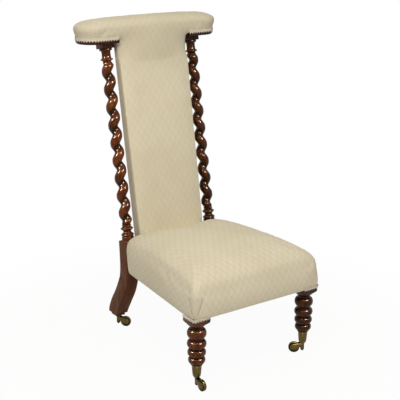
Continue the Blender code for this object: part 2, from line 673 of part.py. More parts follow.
def column_rings(side):
    """Rings of a column from its dowel to the top of its turned head, about its own Z axis."""
    def ring(radius_at, height):
        angles = [math.tau * i / TWIST_SIDES for i in range(TWIST_SIDES)]
        return [(radius_at(a) * math.cos(a), radius_at(a) * math.sin(a), height) for a in angles]

    plinth = COLUMN_FOOT_SHARES[0][1] * COLUMN_RADIUS
    plain = [(DOWEL_RADIUS, -DOWEL_LENGTH), (DOWEL_RADIUS, FIT_GAP), (plinth, FIT_GAP)]
    plain += [(radius * COLUMN_RADIUS, height * COLUMN_FOOT_LENGTH) for height, radius in COLUMN_FOOT_SHARES]
    rings = [ring(lambda a, r=radius: r, height) for radius, height in plain]
    head_start = column_length() - COLUMN_HEAD_LENGTH
    span = head_start - COLUMN_FOOT_LENGTH
    count = round(span / TWIST_PITCH * TWIST_RINGS_PER_TURN)
    for k in range(1, count):
        height = COLUMN_FOOT_LENGTH + span * k / count
        edge = min(height - COLUMN_FOOT_LENGTH, head_start - height)
        amount = smooth_step(edge / TWIST_RUN_OUT)
        rings.append(ring(lambda a, h=height, m=amount: twist_radius(a, h, side, m), height))
    for height, radius in COLUMN_HEAD_SHARES:
        level = head_start + height * COLUMN_HEAD_LENGTH
        rings.append(ring(lambda a, r=radius * COLUMN_RADIUS: r, level))
    return rings


def capital_form():
    """Square block on a column's head, whose top is cut level to carry the arm rest."""
    rake = math.radians(RAKE_DEGREES)
    low = column_length()
    half = CAPITAL_SIDE / 2
    rings = []
    for inset, height in ((CAPITAL_MOULDING, low - CAPITAL_MOULDING / 2), (0, low + CAPITAL_MOULDING), (0, None)):
        reach = half - inset
        ring = []
        for x, y in ((-reach, -reach), (reach, -reach), (reach, reach), (-reach, reach)):
            level = (BOARD_BOTTOM - FIT_GAP - REAR_LEG_TOP + y * math.sin(rake)) / math.cos(rake)
            ring.append((x, y, level if height is None else height))
        rings.append(ring)
    return loft(rings)


def build_twist_columns(walnut):
    """A mirrored pair of turned twist columns, doweled into the rear legs and raked back."""
    for name, side in SIDES.items():
        form = join(loft(column_rings(side)), capital_form())
        place("twist_column_" + name, mesh_from("twist_column_" + name, form), walnut,
              (side * REAR_LEG_X, COLUMN_FOOT_Y, REAR_LEG_TOP), (-math.radians(RAKE_DEGREES), 0, 0))


def raked_prism(left_x, right_x, front, rear, low, high):
    """A block of the raked back, between level ends. Front and rear are set off from the back's rear."""
    rings = []
    for z in (low, high):
        face = panel_rear(z)
        rings.append([(left_x(z), face + front, z), (right_x(z), face + front, z),
                      (right_x(z), face + rear, z), (left_x(z), face + rear, z)])
    return loft(rings)


def frame_edge(height):
    """Half the width over the stiles of the back's inner frame."""
    return panel_half_width(height) - PANEL_SIDE_PADDING - FIT_GAP


def build_back_frame(beech, jute):
    """Inner frame of the back: two stiles, a top and a bottom rail, and three webs on its front."""
    rear = -FIT_GAP
    front = rear - STILE_THICKNESS
    low = RAIL_TOP + FIT_GAP
    high = BOARD_BOTTOM - FIT_GAP
    for name, side in SIDES.items():
        edges = (lambda z, s=side: s * frame_edge(z), lambda z, s=side: s * (frame_edge(z) - STILE_WIDTH))
        form = raked_prism(*edges, front, rear, low, high)
        place("back_stile_" + name, mesh_from("back_stile_" + name, form), beech)

    def inner(z):
        return frame_edge(z) - STILE_WIDTH - FIT_GAP

    for name, bottom in (("back_bottom_rail", low), ("back_top_rail", high - BACK_RAIL_HEIGHT)):
        form = raked_prism(lambda z: -inner(z), inner, front, rear, bottom, bottom + BACK_RAIL_HEIGHT)
        place(name, mesh_from(name, form), beech)
    for number, share in enumerate(BACK_WEBBING_SHARES, 1):
        bottom = low + share * (high - low) - WEBBING_WIDTH / 2
        form = raked_prism(lambda z: -frame_edge(z), frame_edge, front - FIT_GAP - WEBBING_THICKNESS,
                           front - FIT_GAP, bottom, bottom + WEBBING_WIDTH)
        place("back_webbing_%d" % number, mesh_from("back_webbing", form), jute)


def panel_ring(height, grow=0.0):
    """Section of the back's padding at a height: square rear corners, rounded and crowned front."""
    half = panel_half_width(height) + grow
    flare = PANEL_FLARE * smooth_step((height - BOARD_BOTTOM + PANEL_FLARE_HEIGHT) / PANEL_FLARE_HEIGHT)
    front = panel_front(height) - flare - grow
    ring = [(half, panel_rear(height) + grow, height)]
    for side in (1, -1):
        for k in range(CORNER_STEPS + 1):
            angle = math.pi / 2 * k / CORNER_STEPS
            if side < 0:
                angle = math.pi / 2 - angle
            inset = PANEL_CORNER_RADIUS
            ring.append((side * (half - inset + inset * math.cos(angle)),
                         front + inset - inset * math.sin(angle), height))
        if side > 0:
            ring.append((0, front - PANEL_CROWN, height))
    ring.append((-half, panel_rear(height) + grow, height))
    return ring


def panel_heights():
    """Levels of the back padding's rings, closer together where it flares out under the arm rest."""
    low = RAIL_TOP + HESSIAN_THICKNESS + FIT_GAP * 2
    flare_low = BOARD_BOTTOM - PANEL_FLARE_HEIGHT
    high = BOARD_BOTTOM + BOARD_THICKNESS
    return [low, flare_low] + [flare_low + PANEL_FLARE_HEIGHT * k / CORNER_STEPS for k in (1, 2, 3)] + [high]


def notch_rear_y():
    """Rear edge of the arm rest's front notch, where the back's padding passes the board."""
    return panel_rear(BOARD_BOTTOM) - STILE_THICKNESS


def build_back_upholstery(fabric):
    """Padding round the front and sides of the frame, and the plain cover down its back and rear rail."""
    form = loft([panel_ring(height) for height in panel_heights()])
    hollow_front = -STILE_THICKNESS - WEBBING_THICKNESS - FIT_GAP * 3
    hollow = raked_prism(lambda z: -frame_edge(z) - FIT_GAP, lambda z: frame_edge(z) + FIT_GAP, hollow_front,
                         OVERRUN, RAIL_TOP - OVERRUN, BOARD_BOTTOM)
    form = cut(form, hollow)
    reach = BOARD_HALF_LENGTH
    over = box((-reach, notch_rear_y() - FIT_GAP, BOARD_BOTTOM - FIT_GAP),
               (reach, notch_rear_y() + BOARD_HALF_DEPTH * 2, BOARD_BOTTOM + BOARD_THICKNESS + OVERRUN))
    form = cut(form, over)
    place("back_pad", mesh_from("back_pad", form), fabric)
    rail_half = REAR_LEG_X - REAR_LEG_WIDTH / 2 - FIT_GAP * 2
    high = BOARD_BOTTOM - FIT_GAP
    rings = []
    for z, half in ((SEAT_UNDERSIDE, rail_half), (RAIL_TOP - FIT_GAP, rail_half),
                    (RAIL_TOP + FIT_GAP, PANEL_HALF_WIDTH_LOW), (high, panel_half_width(high))):
        near = panel_rear(max(z, RAIL_TOP)) + FIT_GAP
        far = near + OUTSIDE_COVER_THICKNESS
        rings.append([(-half, near, z), (half, near, z), (half, far, z), (-half, far, z)])
    cover = loft(rings)
    place("back_outside_cover", mesh_from("back_outside_cover", cover), fabric)


def rest_middle_y():
    """Middle of the arm rest, a little behind the heads of the columns."""
    return column_y(BOARD_BOTTOM) + REST_SHIFT


def rest_ring(inset, height, crown=0.0):
    """A level outline of the arm rest, drawn in from the board's edge, lifted by a crown at its middle."""
    outline = stadium(BOARD_HALF_LENGTH - inset, BOARD_HALF_DEPTH - inset, rest_middle_y())
    return [(x, y, height + crown * (1 - (x / BOARD_HALF_LENGTH) ** 2)) for x, y in outline]


def build_arm_rest(walnut, fabric, braid):
    """The board on the columns, its crowned pad, and the braid along their meeting edge."""
    top = BOARD_BOTTOM + BOARD_THICKNESS
    board = loft([rest_ring(BOARD_LOWER_ROUND, BOARD_BOTTOM),
                  rest_ring(BOARD_LOWER_ROUND / 3, BOARD_BOTTOM + BOARD_LOWER_ROUND / 3),
                  rest_ring(0, BOARD_BOTTOM + BOARD_LOWER_ROUND), rest_ring(0, top)])
    front = rest_middle_y() - BOARD_HALF_DEPTH - OVERRUN
    notch_half = PANEL_HALF_WIDTH_HIGH * 1.01 + FIT_GAP
    notch = box((-notch_half, front, BOARD_BOTTOM - OVERRUN), (notch_half, notch_rear_y(), top + OVERRUN))
    place("rest_board", mesh_from("rest_board", cut(board, notch)), walnut)

    base = top + FIT_GAP
    rings = [rest_ring(0, base)]
    rings += [rest_ring(inset * REST_PAD_OVERHANG, base + height * REST_PAD_HEIGHT, height * REST_PAD_CROWN)
              for height, inset in REST_PAD_RING_SHARES]
    place("rest_pad", mesh_from("rest_pad", loft(rings)), fabric)

    low = top - REST_GIMP_DROP
    rim = loft([rest_ring(-FIT_GAP - GIMP_THICKNESS, low), rest_ring(-FIT_GAP - GIMP_THICKNESS, low + REST_GIMP_HEIGHT)])
    core = loft([rest_ring(-FIT_GAP, low - OVERRUN), rest_ring(-FIT_GAP, low + OVERRUN)])
    gap = box((-notch_half - FIT_GAP, front, low - OVERRUN), (notch_half + FIT_GAP, notch_rear_y(), low + OVERRUN))
    place("rest_gimp", mesh_from("rest_gimp", cut(cut(rim, core), gap)), braid)


def seat_corners(inset):
    """Plan corners of the tapered seat, drawn in by an inset."""
    front = FRONT_LEG_Y - SEAT_FRONT_OVERHANG
    rear = behind(SEAT_REAR_SETBACK)
    taper = (SEAT_FRONT_HALF_WIDTH - SEAT_REAR_HALF_WIDTH) / (behind(SEAT_SIDE_END) - front)

    def half(y):
        return SEAT_FRONT_HALF_WIDTH - (y - front) * taper - inset

    low, high = front + inset, rear - inset
    return ((-half(low), low), (half(low), low), (half(high), high), (-half(high), high))



def seat_ring(inset, height, crowned):
    """One level of the seat, lifted lengthwise along the middle of its sides where it is crowned."""
    radius = SEAT_CORNER_RADIUS + inset * SEAT_CORNER_GROWTH
    outline = rounded_outline(seat_corners(inset), radius, CORNER_STEPS, SEAT_EDGE_STEPS)
    front = FRONT_LEG_Y - SEAT_FRONT_OVERHANG
    middle = (front + behind(SEAT_REAR_SETBACK)) / 2
    ring = []
    for x, y in outline:
        along = (y - middle) / (middle - front)
        ring.append((x, y, height + crowned * SEAT_CROWN * (1 - along * along)))
    return ring


def spring_top():
    """Height of the springs' upper ends, under the hessian."""
    return RAIL_BOTTOM + SPRING_HEIGHT


def hessian_rings(lift):
    """Sheet that climbs from the rails over the springs: its outer edge, its knee and its plateau."""
    front = FRONT_LEG_Y + FRONT_BLOCK_SIDE / 2 + FIT_GAP
    rear = rear_rail_front()
    half_front = FRONT_LEG_X - RAIL_THICKNESS / 2
    half_rear = SEAT_REAR_HALF_WIDTH - RAIL_SETBACK - RAIL_THICKNESS / 2
    knee = RAIL_THICKNESS / 2
    rear_knee = rear - panel_front(RAIL_TOP) + PANEL_CROWN + FIT_GAP * 2
    shoulder = SPRING_END_RADIUS * 0.85
    tongue = REAR_LEG_X - REAR_LEG_WIDTH / 2 - FIT_GAP
    rings = []
    for inset, rear_inset, height in ((0, 0, RAIL_TOP), (knee, rear_knee, RAIL_TOP),
                                      (shoulder, shoulder, spring_top())):
        beside_leg = min(rear_leg_front_y() - FIT_GAP, rear - rear_inset)
        right = [(half_front - inset, front + inset), (half_rear - inset, beside_leg),
                 (tongue - inset, beside_leg), (tongue - inset * 1.5, rear - rear_inset)]
        outline = right + [(-x, y) for x, y in reversed(right)]
        rings.append([(x, y, height + lift) for x, y in outline])
    return rings


def build_seat_cushion(fabric, hessian):
    """Stuffing and cover in one: walls over the rails, a rolled edge and a crown, hollow under it."""
    wall_top = SEAT_UNDERSIDE + SEAT_WALL_HEIGHT
    rings = [seat_ring(0, SEAT_UNDERSIDE, 0)]
    for inset, height in SEAT_RING_SHARES:
        lifted = smooth_step(height / SEAT_RING_SHARES[3][1])
        rings.append(seat_ring(inset * SEAT_INSET_SPAN, wall_top + height * SEAT_ROLL_HEIGHT, lifted))
    form = loft(rings)

    block = FRONT_BLOCK_SIDE / 2
    bottom = SEAT_UNDERSIDE - OVERRUN
    rail_out_front = FRONT_LEG_X + block - RAIL_SETBACK + FIT_GAP
    rail_out_rear = SEAT_REAR_HALF_WIDTH - RAIL_SETBACK + FIT_GAP
    side_end = rear_leg_front_y() - FIT_GAP
    side_start = FRONT_LEG_Y + block + FIT_GAP
    slope = (rail_out_front - rail_out_rear) / (side_end - side_start)
    front = FRONT_LEG_Y - block + RAIL_SETBACK - FIT_GAP
    rear = behind(SEAT_REAR_SETBACK) + OVERRUN

    def half(y):
        return rail_out_front - (y - side_start) * slope

    frame = ((-half(front), front), (half(front), front), (half(rear), rear), (-half(rear), rear))
    form = cut(form, prism(frame, bottom, RAIL_TOP + FIT_GAP, lambda x, y, z: (x, y, z)))
    springs = hessian_rings(HESSIAN_THICKNESS + FIT_GAP * 2)
    well = [[(x, y, RAIL_TOP - FIT_GAP) for x, y, _ in springs[0]]] + springs
    form = cut(form, loft(well))
    for side in (-1, 1):
        near = side * (FRONT_LEG_X - block - FIT_GAP)
        far = side * (FRONT_LEG_X + block - BLOCK_REBATE + FIT_GAP)
        low_x, high_x = sorted((near, far))
        form = cut(form, box((low_x, FRONT_LEG_Y - block + BLOCK_REBATE - FIT_GAP, bottom),
                             (high_x, FRONT_LEG_Y + block + FIT_GAP, RAIL_TOP + FIT_GAP * 2)))
        inner = side * (PANEL_HALF_WIDTH_LOW - PANEL_CORNER_RADIUS / 2)
        outer = side * (SEAT_REAR_HALF_WIDTH + OVERRUN)
        low_x, high_x = sorted((inner, outer))
        form = cut(form, box((low_x, side_end, bottom), (high_x, rear, RAIL_TOP + SEAT_ROLL_HEIGHT * 2)))
    panel = loft([panel_ring(height, FIT_GAP) for height in (RAIL_TOP - OVERRUN, RAIL_TOP + SEAT_ROLL_HEIGHT * 2)])
    form = cut(form, panel)
    place("seat_cushion", mesh_from("seat_cushion", form), fabric)

    upper = hessian_rings(HESSIAN_THICKNESS + FIT_GAP)
    lower = hessian_rings(FIT_GAP)
    place("seat_hessian", mesh_from("seat_hessian", loft(lower[::-1] + upper)), hessian)


def spring_form():
    """A waisted coil spring about Z: a wire carried along a helix that narrows at its middle."""
    count = SPRING_TURNS * SPRING_STEPS_PER_TURN
    low = SPRING_WIRE_RADIUS
    rise = SPRING_HEIGHT - 2 * (SPRING_WIRE_RADIUS + FIT_GAP)
    rings = []
    for k in range(count + 1):
        share = k / count
        angle = math.tau * SPRING_TURNS * share
        waist = abs(2 * share - 1) ** 1.5
        radius = SPRING_WAIST_RADIUS + (SPRING_END_RADIUS - SPRING_WAIST_RADIUS) * waist
        level = low + (rise - low) * smooth_step(share)
        ring = []
        for i in range(SPRING_WIRE_SIDES):
            turn = math.tau * i / SPRING_WIRE_SIDES
            out = radius + SPRING_WIRE_RADIUS * math.cos(turn)
            ring.append((out * math.cos(angle), out * math.sin(angle), level + SPRING_WIRE_RADIUS * math.sin(turn)))
        rings.append(ring)
    return loft(rings)


def build_springing(steel, jute, lining):
    """Webs under the rails, five coil springs standing on their crossings, and the dust cover."""
    middle_y = FRONT_LEG_Y + (REAR_LEG_SETBACK - REAR_LEG_DEPTH / 2) / 2
    front = FRONT_LEG_Y - FRONT_BLOCK_SIDE / 2 + RAIL_SETBACK + RAIL_THICKNESS / 2
    rear = rear_rail_front() + RAIL_THICKNESS / 2
    start, end, _ = seat_rails()["side_seat_rail_right"]
    slope = (start[0] - end[0]) / (end[1] - start[1])

    def side_x(y):
        return start[0] - (y - start[1]) * slope

    half = WEBBING_WIDTH / 2
    upper = RAIL_BOTTOM - FIT_GAP
    lower = upper - WEBBING_THICKNESS - FIT_GAP
    for number, step in enumerate((-1, 0, 1), 1):
        x = step * WEBBING_SPACING
        form = box((x - half, front, upper - WEBBING_THICKNESS), (x + half, rear, upper))
        place("seat_webbing_long_%d" % number, mesh_from("seat_webbing", form), jute)
        y = middle_y + step * WEBBING_SPACING
        reach = side_x(y + half)
        form = box((-reach, y - half, lower - WEBBING_THICKNESS), (reach, y + half, lower))
        place("seat_webbing_cross_%d" % number, mesh_from("seat_webbing", form), jute)
    coil = mesh_from("seat_spring", spring_form())
    crossings = ((-1, -1), (1, -1), (0, 0), (-1, 1), (1, 1))
    for number, (across, along) in enumerate(crossings, 1):
        seat = (across * WEBBING_SPACING, middle_y + along * WEBBING_SPACING, RAIL_BOTTOM)
        place("seat_spring_%d" % number, coil, steel, seat)

    block_x = FRONT_LEG_X - FRONT_BLOCK_SIDE / 2 - FIT_GAP * 2
    block_y = FRONT_LEG_Y + FRONT_BLOCK_SIDE / 2 + FIT_GAP * 2
    leg_x = REAR_LEG_X - REAR_LEG_WIDTH / 2 - FIT_GAP * 2
    leg_y = rear_leg_front_y() - FIT_GAP * 2
    right = [(block_x, front), (block_x, block_y), (side_x(block_y), block_y), (side_x(leg_y), leg_y),
             (leg_x, leg_y), (leg_x, rear)]
    outline = right + [(-x, y) for x, y in reversed(right)]
    top = lower - WEBBING_THICKNESS - FIT_GAP
    form = prism(outline, top - DUST_COVER_THICKNESS, top, lambda x, y, z: (x, y, z))
    place("seat_dust_cover", mesh_from("seat_dust_cover", form), lining)


def build_leg_gimps(braid):
    """A short braid along the cover's lower edge on the two outer faces of each front block."""
    top = SEAT_UNDERSIDE - FIT_GAP
    inner = FRONT_BLOCK_SIDE / 2 + FIT_GAP
    outer = inner + GIMP_THICKNESS
    back = FRONT_BLOCK_SIDE / 2
    for name, side in SIDES.items():
        outline = ((-back, -outer), (outer, -outer), (outer, back), (inner, back), (inner, -inner), (-back, -inner))
        form = prism(outline, top - LEG_GIMP_HEIGHT, top,
                     lambda x, y, z, s=side: (s * (FRONT_LEG_X + x), FRONT_LEG_Y + y, z))
        place("front_leg_gimp_" + name, mesh_from("front_leg_gimp_" + name, form), braid)


def main():
    """Build every piece of the chair."""
    clear_scene()
    walnut = make_material("polished_walnut", (0.09, 0.028, 0.014), 0.22)
    beech = make_material("beech", (0.42, 0.26, 0.13), 0.6)
    brass = make_material("aged_brass", (0.33, 0.24, 0.08), 0.38, 1.0)
    fabric = make_material("cream_damask", (0.62, 0.54, 0.38), 0.85)
    braid = make_material("gimp_braid", (0.64, 0.57, 0.42), 0.8)
    jute = make_material("jute_webbing", (0.3, 0.2, 0.1), 0.9)
    hessian = make_material("hessian", (0.36, 0.25, 0.13), 0.92)
    steel = make_material("coppered_spring_steel", (0.4, 0.3, 0.24), 0.4, 1.0)
    lining = make_material("black_lining", (0.02, 0.02, 0.02), 0.9)
    build_castors(brass)
    build_front_legs(walnut)
    build_rear_legs(walnut)
    build_seat_rails(beech)
    build_twist_columns(walnut)
    build_back_frame(beech, jute)
    build_back_upholstery(fabric)
    build_arm_rest(walnut, fabric, braid)
    build_springing(steel, jute, lining)
    build_seat_cushion(fabric, hessian)
    build_leg_gimps(braid)


main()
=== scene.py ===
"""Dressed model of a prie-dieu chair: turned and twisted walnut, a damask seat and T-shaped back, brass castors."""
import json
import math
import bpy
import bmesh
import numpy as np
from mathutils import Matrix, Vector

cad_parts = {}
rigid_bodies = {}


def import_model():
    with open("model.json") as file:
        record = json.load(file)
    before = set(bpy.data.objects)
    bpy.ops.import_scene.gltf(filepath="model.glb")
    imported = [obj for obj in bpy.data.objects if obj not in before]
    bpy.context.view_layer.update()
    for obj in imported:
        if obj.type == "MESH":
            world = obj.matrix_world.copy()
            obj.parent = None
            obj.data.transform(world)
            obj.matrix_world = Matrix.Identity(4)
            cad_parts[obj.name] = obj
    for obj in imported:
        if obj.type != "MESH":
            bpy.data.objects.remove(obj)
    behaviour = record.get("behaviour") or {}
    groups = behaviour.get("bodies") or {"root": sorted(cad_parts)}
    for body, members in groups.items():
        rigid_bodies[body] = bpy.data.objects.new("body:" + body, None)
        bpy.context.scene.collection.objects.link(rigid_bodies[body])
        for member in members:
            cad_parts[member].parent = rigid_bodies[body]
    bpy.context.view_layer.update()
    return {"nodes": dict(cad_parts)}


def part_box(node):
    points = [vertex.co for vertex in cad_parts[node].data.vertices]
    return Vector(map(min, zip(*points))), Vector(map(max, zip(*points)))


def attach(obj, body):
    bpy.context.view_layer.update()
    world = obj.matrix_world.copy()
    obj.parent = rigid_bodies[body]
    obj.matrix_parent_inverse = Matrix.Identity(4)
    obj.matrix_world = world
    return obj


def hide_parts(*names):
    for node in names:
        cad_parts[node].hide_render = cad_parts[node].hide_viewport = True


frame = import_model()

bl_info = {
    "name": "Prie-dieu chair",
    "version": (1, 0, 0),
    "blender": (4, 5, 0),
    "location": "View3D > Sidebar > Prie-dieu",
    "description": "Builds the dressed pieces, finishes and studio of a prie-dieu chair on its CAD frame",
    "category": "Object",
}

# Places of the frame that the dressed pieces stand on, in metres
SIDES = {"left": -1, "right": 1}
RAKE = math.radians(10.487)
TAN_RAKE = math.tan(RAKE)
FRONT_LEG_X, FRONT_LEG_Y = 0.202, -0.289455
REAR_LEG_X, REAR_LEG_TOP = 0.159, 0.3209
COLUMN_FOOT_Y = 0.14725
REAR_CASTOR_Y = 0.22175
REAR_FOOT_HEIGHT, TOE_HEIGHT = 0.049, 0.009
BLOCK_BOTTOM, BLOCK_HALF = 0.203, 0.0285
SEAT_UNDERSIDE, RAIL_TOP = 0.2235, 0.283
BOARD_BOTTOM, BOARD_TOP = 0.9325, 0.944
BOARD_HALF_LENGTH, BOARD_HALF_DEPTH = 0.2475, 0.0525
BOARD_REACH = BOARD_HALF_LENGTH - BOARD_HALF_DEPTH    # from its middle to the centre of each round end
CASTOR_TOP, CASTOR_TRAIL = 0.035, 0.026
GAP = 0.0002                                          # air left between two pieces that touch


def column_y(height):
    """The y of the raked columns' axis at a height."""
    return COLUMN_FOOT_Y + (height - REAR_LEG_TOP) * TAN_RAKE


REST_MIDDLE_Y = column_y(BOARD_BOTTOM) + 0.0115       # the rest stands that far behind the columns' tops


def linear(hex_colour):
    """The linear red, green and blue of an sRGB hex colour."""
    parts = np.array([int(hex_colour[i:i + 2], 16) / 255 for i in (1, 3, 5)])
    return tuple(np.where(parts <= 0.04045, parts / 12.92, ((parts + 0.055) / 1.055) ** 2.4))


# Sizes, colours and light that a user may change

def length(name, default, description):
    """A length in metres."""
    return bpy.props.FloatProperty(name=name, description=description, default=default, min=0.0, precision=5,
                                   subtype="DISTANCE", unit="LENGTH")


def colour(name, default, description):
    """A colour, given in sRGB hex."""
    return bpy.props.FloatVectorProperty(name=name, description=description, default=linear(default), size=3,
                                         min=0.0, max=1.0, subtype="COLOR")


class PrieDieuSizes(bpy.types.PropertyGroup):
    """Sizes of the turned, carved and stuffed pieces."""
    bobbin_neck: length("Bobbin neck radius", 0.0192, "Radius of the front legs between two bobbins")
    twist_ridge: length("Twist ridge radius", 0.0202, "Radius of the columns at the top of the winding ridge")
    twist_groove: length("Twist groove radius", 0.0098, "Radius of the columns in the groove beside the ridge")
    twist_pitch: length("Twist pitch", 0.0556, "Height of one turn of the twist")
    edge_wear: length("Edge rounding", 0.0012, "Radius worn onto the square legs' edges")
    rest_overhang: length("Rest overhang", 0.0085, "How far the rest's stuffing stands over its board")
    rest_height: length("Rest stuffing height", 0.0565, "Height of the rest's stuffing on its board")
    seat_crown: length("Seat crown", 0.014, "Rise of the seat's middle over its front and rear edges")
    braid_pitch: length("Braid tooth", 0.009, "Length of one tooth of the braid's lower edge")
    braid_relief: length("Braid relief", 0.0016, "Height of the braid's cords")
    damask_repeat: length("Damask repeat", 0.0227, "Width of one repeat of the figure, two columns of lozenges")
    damask_drop: length("Damask drop", 0.0345, "Height of one repeat of the figure, two rows of lozenges")
    stuffing_pressure: bpy.props.FloatProperty(name="Stuffing pressure", default=4.0, min=0.0,
                                               description="Pressure that fills the covers while they settle")


class PrieDieuFinishes(bpy.types.PropertyGroup):
    """Colours of the finishes."""
    walnut_dark: colour("Walnut, dark", "#241006", "Dark figure of the polished walnut")
    walnut_warm: colour("Walnut, warm", "#7E421C", "Warm figure of the polished walnut")
    walnut_plain: colour("Walnut, plain", "#6A4028", "Flat sawn walnut of the rear legs")
    damask_light: colour("Damask, light", "#EBE7D6", "Raised figure of the cream damask")
    damask_shade: colour("Damask, shade", "#D9D2BB", "Ground of the cream damask")
    braid: colour("Braid", "#F3EEE2", "Cream braid along the cover's edges")
    brass_bright: colour("Brass, rubbed", "#64552B", "Brass where hands and floors rub it")
    brass_dark: colour("Brass, tarnished", "#2E2410", "Brass in its recesses")
    beech: colour("Beech", "#C49A6C", "Hidden frame")
    jute: colour("Jute webbing", "#A98B5D", "Webs of the seat and back")
    hessian: colour("Hessian", "#B79B6B", "Cloth over the springs")
    copper: colour("Coppered steel", "#A8603C", "Springs")
    lining: colour("Black lining", "#1D1B19", "Dust cover under the seat")


class PrieDieuStudio(bpy.types.PropertyGroup):
    """Light of the studio: lamps in watts, and the surround's strength."""
    main_power: bpy.props.FloatProperty(name="Main softbox", default=36.0, min=0.0, unit="POWER",
                                        description="Large softbox above the camera")
    right_power: bpy.props.FloatProperty(name="Right lamp", default=8.5, min=0.0, unit="POWER",
                                         description="Lamp on the camera's right")
    top_power: bpy.props.FloatProperty(name="Overhead", default=6.0, min=0.0, unit="POWER",
                                       description="Large soft light over the chair")
    polish_power: bpy.props.FloatProperty(name="Polish lamps", default=380.0, min=0.0, unit="POWER",
                                          description="Each of two lamps that only the walnut's polish reflects")
    glint_power: bpy.props.FloatProperty(name="Glint lamps", default=55.0, min=0.0, unit="POWER",
                                         description="Each of two lamps that only the brass reflects")
    surround: bpy.props.FloatProperty(name="Surround", default=0.28, min=0.0,
                                      description="Strength of the white surround as it lights the chair")


def sizes():
    """The scene's sizes."""
    return bpy.context.scene.prie_dieu_sizes


def finishes():
    """The scene's colours."""
    return bpy.context.scene.prie_dieu_finishes


# Surfaces: each is a pair of points and faces

def grid_faces(rows, columns, round_rows=False, round_columns=True):
    """Quads of a grid whose points are counted row by row; a round direction joins its two ends."""
    row, column = np.meshgrid(np.arange(rows if round_rows else rows - 1),
                              np.arange(columns if round_columns else columns - 1), indexing="ij")
    below, beside = (row + 1) % rows, (column + 1) % columns
    quads = (row * columns + column, row * columns + beside, below * columns + beside, below * columns + column)
    return np.stack(quads, -1).reshape(-1, 4).tolist()


def loft(rings, ends="fan"):
    """Rings joined in order. Each end is closed by a fan to the ring's middle, by one flat face, or left open."""
    rings = np.asarray(rings, float)
    rows, columns = rings.shape[:2]
    if ends == "fan":
        first, last = (np.broadcast_to(rings[i].mean(0), (1, columns, 3)) for i in (0, -1))
        rings = np.concatenate((first, rings, last))
        rows += 2
    faces = grid_faces(rows, columns)
    if ends == "flat":
        faces += [list(range(columns)), list(range((rows - 1) * columns, rows * columns))]
    return rings.reshape(-1, 3), faces


def lathe(profile, steps=72):
    """Surface of revolution: the (radius, height) profile carried once round Z."""
    radius, height = np.asarray(profile, float).T
    angle = np.arange(steps) * math.tau / steps
    points = np.stack((np.outer(radius, np.cos(angle)), np.outer(radius, np.sin(angle)),
                       np.repeat(height[:, None], steps, 1)), -1)
    return points.reshape(-1, 3), grid_faces(len(radius), steps)


def placed(shell, matrix):
    """A shell with its points moved by a matrix."""
    turn = np.array(matrix)
    return shell[0] @ turn[:3, :3].T + turn[:3, 3], shell[1]


def smooth_curve(points, steps):
    """Catmull-Rom curve through the points, with so many samples for each span."""
    knots = np.asarray(points, float)
    knots = np.vstack((2 * knots[0] - knots[1], knots, 2 * knots[-1] - knots[-2]))
    share = np.linspace(0, 1, steps, endpoint=False)[None, :, None]
    a, b, c, d = (knots[i:len(knots) - 3 + i, None] for i in range(4))
    curve = b + 0.5 * share * (c - a + share * (2 * a - 5 * b + 4 * c - d + share * (3 * b - a - 3 * c + d)))
    return np.vstack((curve.reshape(-1, knots.shape[1]), knots[-2]))


def ease(share):
    """Smooth step: 3s^2 - 2s^3 with the share kept from 0 to 1."""
    share = np.clip(share, 0, 1)
    return share * share * (3 - 2 * share)


def at_height(outline, height):
    """Points (x, y) with a height, or with one for each of them, as points (x, y, z)."""
    return np.column_stack((outline, np.broadcast_to(height, len(outline))))


def rounded_rectangle(half_x, half_y, radius, steps=5):
    """Points (x, y) round a rectangle whose corners are quarter circles."""
    arc = np.linspace(0, math.pi / 2, steps + 1)
    corners = []
    for quarter, (x, y) in enumerate(((1, 1), (-1, 1), (-1, -1), (1, -1))):
        angle = arc + quarter * math.pi / 2
        corners.append(np.stack((x * (half_x - radius) + radius * np.cos(angle),
                                 y * (half_y - radius) + radius * np.sin(angle)), -1))
    return np.concatenate(corners)


def block(half_x, half_y, low, high, edge):
    """A square block whose edges are all rounded: quarter-circle insets at both ends of rounded rectangles."""
    angle = np.linspace(0, math.pi / 2, 4)
    insets = edge * (1 - np.sin(angle))
    lifts = edge * (1 - np.cos(angle))
    steps = list(zip(insets, low + lifts)) + list(zip(insets[::-1], high - lifts[::-1]))
    return loft([at_height(rounded_rectangle(half_x - inset, half_y - inset, edge), height)
                 for inset, height in steps])


def stadium(straight=60, arc=36):
    """Centres and outward directions (x, y) round a stadium: the front from +x to -x, the left end, the rear and the
    right end."""
    along = np.linspace(BOARD_REACH, -BOARD_REACH, straight)
    angle = np.linspace(-math.pi / 2, -math.pi * 1.5, arc + 2)[1:-1]
    ahead = np.stack((along, np.full(straight, REST_MIDDLE_Y)), -1)
    bend = np.stack((np.cos(angle), np.sin(angle)), -1)
    left = np.broadcast_to((-BOARD_REACH, REST_MIDDLE_Y), (arc, 2))
    centres = np.concatenate((ahead, left, ahead * (-1, 1), left * (-1, 1)))
    outward = np.concatenate((np.broadcast_to((0, -1.0), (straight, 2)), bend,
                              np.broadcast_to((0, 1.0), (straight, 2)), bend * -1))
    return centres, outward


def piece_mesh(name, shells, sharp=38):
    """One mesh of several closed shells: doubles merged, faces turned outwards, smooth but for its sharp edges."""
    points, faces, start = [], [], 0
    for shell_points, shell_faces in shells:
        points.append(shell_points)
        faces += [[index + start for index in face] for face in shell_faces]
        start += len(shell_points)
    mesh = bpy.data.meshes.new(name)
    mesh.from_pydata(np.concatenate(points).tolist(), [], faces)
    form = bmesh.new()
    form.from_mesh(mesh)
    bmesh.ops.remove_doubles(form, verts=form.verts, dist=2e-6)
    bmesh.ops.recalc_face_normals(form, faces=form.faces)
    form.to_mesh(mesh)
    form.free()
    smooth_shade(mesh, sharp)
    return mesh


